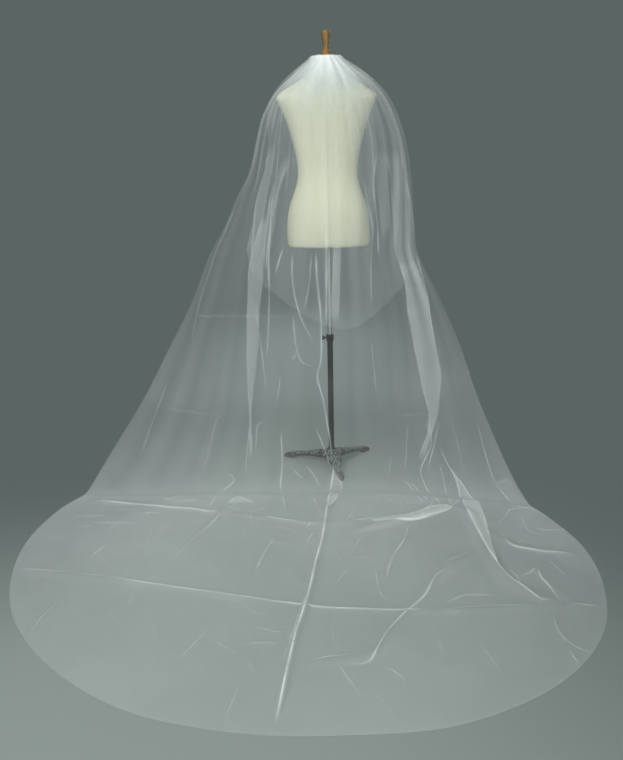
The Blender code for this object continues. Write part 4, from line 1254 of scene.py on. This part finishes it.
    def add_minor_folds(self, outline: np.ndarray) -> None:
        """Adds short faint folds between the main ones."""
        random = np.random.default_rng(self.seed)
        while len(self.creases) < len(self.folds) + self.minor_folds:
            start = np.array((random.uniform(-1.0, 0.75), random.uniform(-1.5, -0.4)))
            heading = random.normal(-1.55, 0.45)
            length = random.uniform(0.05, 0.20)
            bend = random.uniform(-0.5, 0.5)
            points = [start]
            for _ in range(3):
                points.append(points[-1] + length / 3 * np.array((math.cos(heading), math.sin(heading))))
                heading += bend / 3
            if inside(np.array(points), outline).all():
                cover = random.uniform(0.06, 0.15)
                self.creases.append(Crease(tuple(tuple(p) for p in points), cover, 0.0022, 0.0014))

    def height(self, flat: np.ndarray, edge: np.ndarray) -> np.ndarray:
        """How high the cloth lies without its creases."""
        rise = np.zeros(len(flat))
        for ridge in self.ridges:
            line = follow(ridge.points, 0.03)
            gap, along = near_line(flat, line)
            total = np.linalg.norm(np.diff(line, axis=0), axis=1).sum()
            end = np.minimum(np.minimum(along, total - along) / 0.10, 1.0)
            shape = 0.5 + 0.5 * np.cos(np.pi * np.minimum(gap / ridge.half_width, 1))
            rise = np.maximum(rise, ridge.height * shape * (0.35 + 0.65 * end))
        x, y = flat[:, 0], flat[:, 1]
        roll = np.sin(x * 23 + 2.2 * np.sin(y * 9)) * np.sin(y * 17 + 1.9 * np.sin(x * 11))
        small = np.sin(x * 61 + y * 23) * np.sin(y * 53 - x * 19)
        rise += 0.0011 * (1 + roll) + 0.0004 * (1 + small)
        return 0.001 + rise * np.minimum(edge / 0.045, 1.0)

    def build(self) -> bpy.types.Object:
        """Builds and dresses the piece."""
        outline = self.outline()
        self.creases = list(self.folds)
        self.add_minor_folds(outline)
        low, high = outline.min(axis=0), outline.max(axis=0)
        step = self.spacing
        rows = np.arange(low[1], high[1], step * 0.866)
        base = []
        for number, y in enumerate(rows):
            xs = np.arange(low[0] + (number % 2) * step / 2, high[0], step)
            base.append(np.stack([xs, np.full(len(xs), y)], axis=1))
        base = np.concatenate(base)
        flat, faces = self.lay_out(outline, base, np.full(len(base), step * 0.6))
        closed = np.vstack([outline, outline[:1]])
        edge = near_line(flat, closed)[0]
        rise, crease_cover = self.crease_fields(flat)
        double = np.max([patch_share(area, flat) * (area.layers - 1) for area in self.areas], axis=0)
        z = self.height(flat, edge) + (rise + double * 0.0008) * np.minimum(edge / 0.01, 1.0)
        points = np.concatenate([flat, z[:, None]], axis=1)
        slope = np.zeros((len(points), 3))
        corner = points[faces]
        face_normals = np.cross(corner[:, 1] - corner[:, 0], corner[:, 2] - corner[:, 0])
        for k in range(3):
            np.add.at(slope, faces[:, k], face_normals)
        lean = np.clip(1 / np.maximum(unit(slope)[:, 2], 0.35), 1.0, 2.4) ** 1.5
        x, y = flat[:, 0], flat[:, 1]
        patch = 1 + 0.10 * np.tanh(3 * np.sin(x * 9 + 1.3 * np.sin(y * 7)))
        hem = 0.5 * (1 - smooth(near_line(flat, follow(self.edge_points, 0.02))[0], 0.002, 0.008))
        near = 1 + 1.5 * (1 - smooth(-y, 0.30, 1.25))
        landing = self.drape.bare(np.full(80, 20.0), np.linspace(-1, 1, 80))[:, :2]
        near = near + 0.5 * (1 - smooth(near_line(flat, landing)[0], 0.0, 0.14))
        layers = (near + double + hem) * lean * patch
        cover = 1 - (1 - self.single) ** layers
        cover = 1 - (1 - cover) * (1 - np.minimum(crease_cover * 1.3, 0.85))
        item = self.make(points, faces, flat, np.clip(cover, 0.02, 0.95))
        dress(item, Tulle(), ("long_tier_train",))
        return item


@dataclass
class Heading:
    """The ruched band round the back half of the neck, as a folded strip of net."""

    inner_radius: float = NECK_RADIUS + SEAM
    wall: float = 0.0030
    half_angle: float = 98.0
    low: float = HEADING_LOW
    high: float = HEADING_HIGH
    columns: int = 560
    rows: int = 14
    ruffle: float = 0.0011

    def build(self) -> bpy.types.Object:
        """Builds and dresses the piece."""
        angles = np.radians(np.linspace(-self.half_angle, self.half_angle, self.columns + 1) - 90)
        share = np.linspace(0, 1, self.rows + 1)
        turn, level = np.meshgrid(angles, share)
        phase = turn * 38 + 1.7 * np.sin(turn * 5.3) + 0.6 * np.sin(level * 5 + turn * 11)
        folds = 0.62 * np.sin(phase) + 0.38 * np.sin(turn * 93 + 1.1 * np.sin(turn * 9) + level * 1.3)
        pinch = 0.55 + 0.45 * np.abs(2 * level - 1) ** 1.5
        radius = self.inner_radius + self.wall + self.ruffle * folds * pinch - 0.0004
        top = self.high + 0.0022 * np.sin(phase * 0.5) * np.sin(turn * 21)
        height = self.low + (top - self.low) * level
        outer = np.stack([radius * np.cos(turn), radius * np.sin(turn), height], axis=-1)
        inner_radius = np.full_like(radius, self.inner_radius)
        inner = np.stack([inner_radius * np.cos(turn), inner_radius * np.sin(turn), height], axis=-1)
        count = self.columns + 1
        points = np.concatenate([outer.reshape(-1, 3), inner.reshape(-1, 3)])
        i, j = np.meshgrid(np.arange(self.rows), np.arange(self.columns), indexing="ij")
        a = (i * count + j).ravel()
        front = np.stack([a, a + 1, a + 1 + count, a + count], axis=1)
        shift = outer.shape[0] * count
        back = front[:, ::-1] + shift
        last = self.rows * count
        side = []
        for k in range(self.columns):
            side.append((k, k + shift, k + 1 + shift, k + 1))
            side.append((last + k, last + k + 1, last + k + 1 + shift, last + k + shift))
        for k in range(self.rows):
            p, q = k * count, k * count + self.columns
            side.append((p, p + count, p + count + shift, p + shift))
            side.append((q, q + shift, q + count + shift, q + count))
        mesh = bpy.data.meshes.new("heading_cloth")
        faces = np.concatenate([front, back, np.array(side)])
        mesh.from_pydata((points + POLE).tolist(), [], faces.tolist())
        layer = mesh.uv_layers.new(name="cut")
        place = np.stack([np.broadcast_to(turn * 0.3, height.shape), height], axis=-1).reshape(-1, 2)
        places = np.vstack([place, place]).astype(np.float32)
        corners = np.zeros(len(mesh.loops), np.int32)
        mesh.loops.foreach_get("vertex_index", corners)
        layer.data.foreach_set("uv", places[corners].ravel())
        attribute = mesh.attributes.new("cover", "FLOAT", "POINT")
        cover = np.clip(0.88 + 0.08 * folds, 0.6, 0.97).ravel()
        attribute.data.foreach_set("value", np.concatenate([cover, cover]).astype(np.float32))
        mesh.shade_smooth()
        item = bpy.data.objects.new("heading_cloth", mesh)
        bpy.context.scene.collection.objects.link(item)
        dress(item, Tulle(), ("gathered_heading",))
        return item


# Dress form and stand


def merged_copy(node: str, name: str) -> bpy.types.Object:
    """A copy of a CAD node with its loose triangles joined, as the active object."""
    deselect()
    item = bpy.data.objects.new(name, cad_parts[node].data.copy())
    bpy.context.scene.collection.objects.link(item)
    model = bmesh.new()
    model.from_mesh(item.data)
    bmesh.ops.remove_doubles(model, verts=model.verts, dist=0.00002)
    model.to_mesh(item.data)
    model.free()
    item.select_set(True)
    bpy.context.view_layer.objects.active = item
    return item


@dataclass
class DressForm:
    """The torso, smoothed from its solid."""

    name: str = "torso_cover"
    levels: int = 2

    def build(self) -> bpy.types.Object:
        """Builds and dresses the piece."""
        item = merged_copy("dress_form", self.name)
        bpy.ops.object.mode_set(mode="EDIT")
        bpy.ops.mesh.select_all(action="SELECT")
        bpy.ops.mesh.tris_convert_to_quads(face_threshold=math.pi, shape_threshold=math.pi)
        bpy.ops.object.mode_set(mode="OBJECT")
        apply_modifier(item, "SUBSURF", levels=self.levels, render_levels=self.levels)
        item.data.shade_smooth()
        return dress(item, FormCover(), ("dress_form",))


def finish_edit(item: bpy.types.Object) -> None:
    """Turns all faces outwards and leaves edit mode."""
    bpy.ops.mesh.select_all(action="SELECT")
    bpy.ops.mesh.normals_make_consistent(inside=False)
    bpy.ops.object.mode_set(mode="OBJECT")


def apply_modifier(item: bpy.types.Object, kind: str, **settings: object) -> None:
    """Adds one modifier and applies it."""
    bpy.context.view_layer.objects.active = item
    modifier = item.modifiers.new(kind.lower(), kind)
    for key, value in settings.items():
        setattr(modifier, key, value)
    bpy.ops.object.modifier_apply(modifier=modifier.name)


def turned(name: str, profile: Sequence[tuple[float, float]], sides: int, levels: int = 2) -> bpy.types.Object:
    """A turned piece on the pole's axis, drawn up ring by ring.

    Args:
        name: the piece's name.
        profile: radius and height of its rings, from the bottom up.
        sides: corners of each ring.
        levels: smoothing levels.

    Returns:
        The new object, at the origin.
    """
    deselect()
    radius, height = profile[0]
    place = (POLE[0], POLE[1], height)
    bpy.ops.mesh.primitive_circle_add(vertices=sides, radius=radius, fill_type="NGON", location=place)
    item = bpy.context.object
    item.name = name
    bpy.ops.object.transform_apply(location=True, rotation=True, scale=True)
    bpy.ops.object.mode_set(mode="EDIT")
    bpy.ops.mesh.select_all(action="SELECT")
    for next_radius, next_height in profile[1:]:
        bpy.ops.mesh.extrude_region_move(TRANSFORM_OT_translate={"value": (0, 0, next_height - height)})
        ratio = next_radius / radius
        bpy.ops.transform.resize(value=(ratio, ratio, 1.0), center_override=(POLE[0], POLE[1], next_height))
        radius, height = next_radius, next_height
    finish_edit(item)
    apply_modifier(item, "SUBSURF", levels=levels, render_levels=levels)
    item.data.shade_smooth()
    return item


@dataclass
class Finial:
    """The turned knob on the neck: a stem that flares upwards over a bead with two grooves."""

    foot: float = NECK_TOP + SEAM
    # radius and height above the neck, from the bottom up
    profile: tuple = (
        (0.0128, 0.0), (0.0138, 0.0008), (0.0146, 0.0035), (0.0160, 0.0060), (0.0167, 0.0095), (0.0168, 0.0130),
        (0.0162, 0.0152), (0.0152, 0.0160), (0.0158, 0.0170), (0.0162, 0.0190), (0.0154, 0.0212), (0.0138, 0.0222),
        (0.0136, 0.0232), (0.0130, 0.0248), (0.0108, 0.0262), (0.0103, 0.0290), (0.0110, 0.0370), (0.0132, 0.0520),
        (0.0158, 0.0690), (0.0167, 0.0790), (0.0166, 0.0825), (0.0150, 0.0858), (0.0110, 0.0878), (0.0040, 0.0884),
    )

    def build(self) -> bpy.types.Object:
        """Builds and dresses the piece."""
        rings = [(radius, self.foot + height) for radius, height in self.profile]
        return dress(turned("neck_finial", rings, 24), TurnedWood(), ("finial",))


@dataclass
class Pole:
    """The rod, the tube that it slides in, the clamp's collar and its knob."""

    rod_radius: float = 0.0095
    rod_low: float = 0.441
    rod_high: float = 0.8717
    tube_radius: float = 0.011
    tube_low: float = 0.0643
    tube_top: float = 0.531
    collar_radius: float = 0.0145
    collar_height: float = 0.026
    knob_radius: float = 0.009
    stem_radius: float = 0.0035
    stem_length: float = 0.006
    knob_length: float = 0.011
    knob_sides: int = 14

    def tube(self, name: str, inner: float, outer: float, low: float, high: float) -> bpy.types.Object:
        """An upright open tube with rounded lips."""
        deselect()
        place = (POLE[0], POLE[1], (low + high) / 2)
        bpy.ops.mesh.primitive_cylinder_add(
            vertices=48, radius=outer, depth=high - low, end_fill_type="NOTHING", location=place
        )
        item = bpy.context.object
        item.name = name
        bpy.ops.object.transform_apply(location=True, rotation=True, scale=True)
        apply_modifier(item, "SOLIDIFY", thickness=outer - inner, offset=-1.0)
        apply_modifier(item, "BEVEL", width=min(0.0012, (outer - inner) * 0.4), segments=2, angle_limit=0.9)
        item.data.shade_smooth()
        bpy.ops.object.shade_smooth_by_angle(angle=0.7)
        return item

    def knob(self) -> bpy.types.Object:
        """The clamp's knob: a stem and a ribbed head, pointing left."""
        deselect()
        start = self.collar_radius + SEAM
        head = start + self.stem_length
        level = self.tube_top - self.collar_height / 2
        place = (POLE[0] - start, POLE[1], level)
        bpy.ops.mesh.primitive_circle_add(
            vertices=self.knob_sides * 2, radius=self.stem_radius, fill_type="NGON", location=place,
            rotation=(0.0, -math.pi / 2, 0.0),
        )
        item = bpy.context.object
        item.name = "clamp_knob"
        bpy.ops.object.transform_apply(location=True, rotation=True, scale=True)
        bpy.ops.object.mode_set(mode="EDIT")
        bpy.ops.mesh.select_all(action="SELECT")
        radius, reach = self.stem_radius, start
        edge = 0.0012
        rings = (
            (self.stem_radius, head - 0.0006), (self.knob_radius - edge, head), (self.knob_radius, head + edge),
            (self.knob_radius, head + self.knob_length - edge), (self.knob_radius - edge, head + self.knob_length),
            (0.0040, head + self.knob_length), (0.0034, head + self.knob_length - 0.0006),
        )
        for next_radius, next_reach in rings:
            bpy.ops.mesh.extrude_region_move(TRANSFORM_OT_translate={"value": (reach - next_reach, 0, 0)})
            ratio = next_radius / radius
            centre = (POLE[0] - next_reach, POLE[1], level)
            bpy.ops.transform.resize(value=(1.0, ratio, ratio), center_override=centre)
            radius, reach = next_radius, next_reach
        bpy.ops.mesh.select_all(action="DESELECT")
        model = bmesh.from_edit_mesh(item.data)
        for face in model.faces:
            middle = face.calc_center_median() - Vector((0, POLE[1], level))
            turn = math.atan2(middle.y, middle.z) / (2 * math.pi) * self.knob_sides * 2
            rim = math.hypot(middle.y, middle.z) > self.knob_radius * 0.96
            face.select = rim and int(round(turn - 0.5)) % 2 == 0
        bmesh.update_edit_mesh(item.data)
        bpy.ops.mesh.inset(thickness=0.0003, depth=-0.0005)
        finish_edit(item)
        apply_modifier(item, "BEVEL", width=0.00025, segments=2, angle_limit=0.6)
        item.data.shade_smooth()
        bpy.ops.object.shade_smooth_by_angle(angle=0.7)
        return item

    def build(self) -> None:
        """Builds and dresses the four pieces."""
        low, high, radius = self.rod_low, self.rod_high, self.rod_radius
        rings = (
            (radius - 0.001, low), (radius, low + 0.001), (radius, low + 0.004), (radius, high - 0.003),
            (radius, high - 0.0005), (radius - 0.0004, high),
        )
        dress(turned("torso_rod", rings, 24), STEEL, ("upper_rod",))
        bore = self.rod_radius + SEAM
        tube = self.tube("stand_tube", bore, self.tube_radius, self.tube_low, self.tube_top)
        dress(tube, PAINT, ("outer_tube",))
        low = self.tube_top - self.collar_height
        collar = self.tube("clamp_collar", self.tube_radius + SEAM, self.collar_radius, low, self.tube_top)
        dress(collar, PAINT, ("tube_collar",))
        dress(self.knob(), KNOB, ("collar_knob",))


@dataclass
class CastBase:
    """The cast base: its solid made fine, with leaves in low relief along the legs and rings on the hub."""

    voxel: float = 0.0019
    relief_depth: float = 0.0026
    angles: tuple = (-81.0, 39.0, 159.0)
    # reach and half width of a leg
    leg: tuple = (
        (0.0, 0.022), (0.030, 0.038), (0.055, 0.033), (0.082, 0.024), (0.112, 0.017), (0.142, 0.0145),
        (0.166, 0.0165), (0.190, 0.0150), (0.208, 0.008),
    )

    def relief(self, places: np.ndarray) -> np.ndarray:
        """How far the leaves and rings stand out, 0 to 1, at places about the pole."""
        reach = np.hypot(places[:, 0], places[:, 1])
        turn = np.degrees(np.arctan2(places[:, 1], places[:, 0]))
        swing = np.stack([(turn - angle + 180) % 360 - 180 for angle in self.angles])
        swing = np.take_along_axis(swing, np.abs(swing).argmin(axis=0)[None], axis=0)[0]
        along = reach * np.cos(np.radians(swing))
        side = reach * np.sin(np.radians(swing))
        table = np.array(self.leg)
        share = np.abs(side) / np.interp(along, table[:, 0], table[:, 1])
        rib = np.exp(-((share / 0.13) ** 2))
        lobes = np.abs(np.sin(np.pi * (along / 0.0165 - share * 1.1 + 0.35 * np.sin(along * 97)))) ** 0.8
        veins = lobes * smooth(share, 0.10, 0.25) * (1 - smooth(share, 0.78, 0.98))
        edge = np.exp(-(((share - 0.90) / 0.09) ** 2)) * 0.7
        leaf = np.maximum(np.maximum(rib, veins * 0.9), edge) * smooth(along, 0.038, 0.052)
        toe = 1 - 0.75 * smooth(along, 0.166, 0.178)
        petals = np.abs(np.cos(np.radians(turn * 6))) ** 0.7 * smooth(reach, 0.019, 0.024) * (1 - smooth(reach, 0.034, 0.042))
        rings = np.exp(-(((reach - 0.0375) / 0.0022) ** 2)) + np.exp(-(((reach - 0.0205) / 0.0018) ** 2))
        return np.clip(np.maximum(np.maximum(leaf * toe, petals * 0.8), rings), 0, 1)

    def build(self) -> bpy.types.Object:
        """Builds and dresses the piece."""
        item = merged_copy("tripod_base", "cast_tripod")
        apply_modifier(item, "REMESH", mode="VOXEL", voxel_size=self.voxel)
        apply_modifier(item, "SMOOTH", factor=0.5, iterations=5)
        mesh = item.data
        count = len(mesh.vertices)
        places, normals = np.zeros(count * 3), np.zeros(count * 3)
        mesh.vertices.foreach_get("co", places)
        mesh.vertices.foreach_get("normal", normals)
        places, normals = places.reshape(-1, 3), normals.reshape(-1, 3)
        raised = self.relief(places - POLE) * smooth(normals[:, 2], -0.1, 0.45)
        low = places[:, 2] < 0.0015
        places = places + normals * (self.relief_depth * (raised - 0.75) * smooth(places[:, 2], 0.002, 0.008))[:, None]
        places[low, 2] = 0.0
        mesh.vertices.foreach_set("co", places.ravel())
        # The relief attribute also places the painted highlight in the iron's colour.
        attribute = mesh.attributes.new("relief", "FLOAT", "POINT")
        attribute.data.foreach_set("value", raised.astype(np.float32))
        mesh.shade_smooth()
        mesh.update()
        log.info("%s: %d faces", item.name, len(mesh.polygons))
        return dress(item, IRON, ("tripod_base",))


# Studio


@dataclass
class Studio:
    """Floor, backdrop colour, lights and camera."""

    backdrop: Colour = (0.105, 0.130, 0.127)
    # Floor colours of a painted pool of light: lit near the veil, dim further off.
    floor_painted_light: Colour = (0.262, 0.303, 0.286)
    floor_painted_dim: Colour = (0.19, 0.223, 0.213)
    floor_back: Colour = (0.60, 0.68, 0.66)
    camera_place: Colour = (-0.0757, -2.900, 1.140)
    pitch: float = 15.3
    roll: float = -1.2
    lens: float = 35.86

    def floor(self) -> None:
        """One large triangle that fades into the backdrop, with a pool of light painted on it."""
        deselect()
        bpy.ops.mesh.primitive_circle_add(vertices=3, radius=16.0, fill_type="NGON", location=(0.05, 0.2, -0.0008))
        ground = bpy.context.object
        ground.name = "studio_floor"
        bpy.ops.object.transform_apply(location=True, rotation=True, scale=True)
        graph = Graph("studio_floor")
        place = graph.object_place()
        across = graph.add("SeparateXYZ", {}, {0: place}, "X")
        depth = graph.add("SeparateXYZ", {}, {0: place}, "Y")
        aside = graph.add("Math", {"operation": "ABSOLUTE"}, {0: across - 0.04})
        middle = graph.span(aside, 0.0, 0.95, 1.0, 0.0)
        moved = graph.add("VectorMath", {"operation": "MULTIPLY_ADD"}, {0: place, 1: (1, 1, 0), 2: (-0.05, 0.75, 0.0)})
        front = graph.add("VectorMath", {"operation": "MINIMUM"}, {0: moved, 1: (9.0, 0.0, 0.0)})
        away = graph.add("VectorMath", {"operation": "LENGTH"}, {0: front}, "Value")
        # Painted pool of light: lighter near the veil, darker further off; the colour also blends towards the backdrop
        # on the right and turns lighter far behind.
        tone = graph.blend(graph.span(away, 0.5, 2.0), self.floor_painted_light, self.floor_painted_dim)
        tone = graph.blend(graph.span(across, -0.1, 1.4, 0.0, 0.66), tone, self.backdrop)
        tone = graph.blend(graph.span(depth, 0.4, 3.6), tone, self.floor_back)
        pool = graph.span(depth - 0.95 * middle, -0.75, 0.62, 1.0, 0.0)
        glow = middle * graph.span(depth, 1.6, 5.6, 0.55, 0.0)
        shown = graph.span(away, 1.5, 2.6, 1.0, 0.0) * (pool + glow * (1.0 - pool))
        black = (0.0, 0.0, 0.0)
        graph.surface(base_color=graph.blend(shown, black, tone), roughness=0.9, specular_ior_level=0.0)
        graph.surface(emission_color=graph.blend(shown, self.backdrop, black), emission_strength=1.0)
        ground.data.materials.append(graph.material)

    def light(self, name: str, place: Colour, aim: Colour, power: float, size: float) -> None:
        """One soft square light."""
        data = bpy.data.lights.new(name, "AREA")
        data.energy = power
        data.size = size
        lamp = bpy.data.objects.new(name, data)
        lamp.location = place
        lamp.rotation_euler = (Vector(aim) - Vector(place)).to_track_quat("-Z", "Y").to_euler()
        bpy.context.scene.collection.objects.link(lamp)

    def camera(self) -> None:
        """The photo's camera."""
        data = bpy.data.cameras.new("view")
        data.lens = self.lens
        data.sensor_width = 36.0
        data.sensor_fit = "AUTO"
        camera = bpy.data.objects.new("view", data)
        turn = Matrix.Rotation(math.radians(90 - self.pitch), 4, "X") @ Matrix.Rotation(math.radians(self.roll), 4, "Z")
        camera.matrix_world = Matrix.Translation(Vector(self.camera_place) + Vector(POLE)) @ turn
        bpy.context.scene.collection.objects.link(camera)
        bpy.context.scene.camera = camera

    def build(self) -> None:
        """Sets up the studio."""
        scene = bpy.context.scene
        scene.view_settings.view_transform = "Standard"
        scene.cycles.transparent_max_bounces = 96
        world = bpy.data.worlds.new("backdrop")
        scene.world = world
        world.use_nodes = True
        world.node_tree.nodes["Background"].inputs["Color"].default_value = (*self.backdrop, 1.0)
        self.floor()
        self.light("key", (-1.7, -2.1, 2.8), (-0.2, 0.0, 0.6), 70.0, 2.0)
        self.light("fill", (1.3, -3.3, 1.5), (0.2, 0.6, 1.2), 62.0, 2.0)
        self.light("top", (-0.6, -0.8, 3.2), (-0.4, -0.5, 0.0), 24.0, 2.4)
        self.light("back", (0.9, 4.6, 2.6), (0.1, 0.8, 1.0), 46.0, 1.6)
        self.camera()


def main() -> None:
    """Builds the pieces in order and reports each."""
    logging.basicConfig(level=logging.INFO, format="%(name)s %(message)s")
    pieces: Sequence[object] = (
        Studio(), DressForm(), Finial(), Pole(), CastBase(), Heading(), LongTierFall(), Train(), ShortTier(),
    )
    for piece in pieces:
        piece.build()
        log.info("%s is built", type(piece).__name__)


if __name__ == "__main__":
    main()
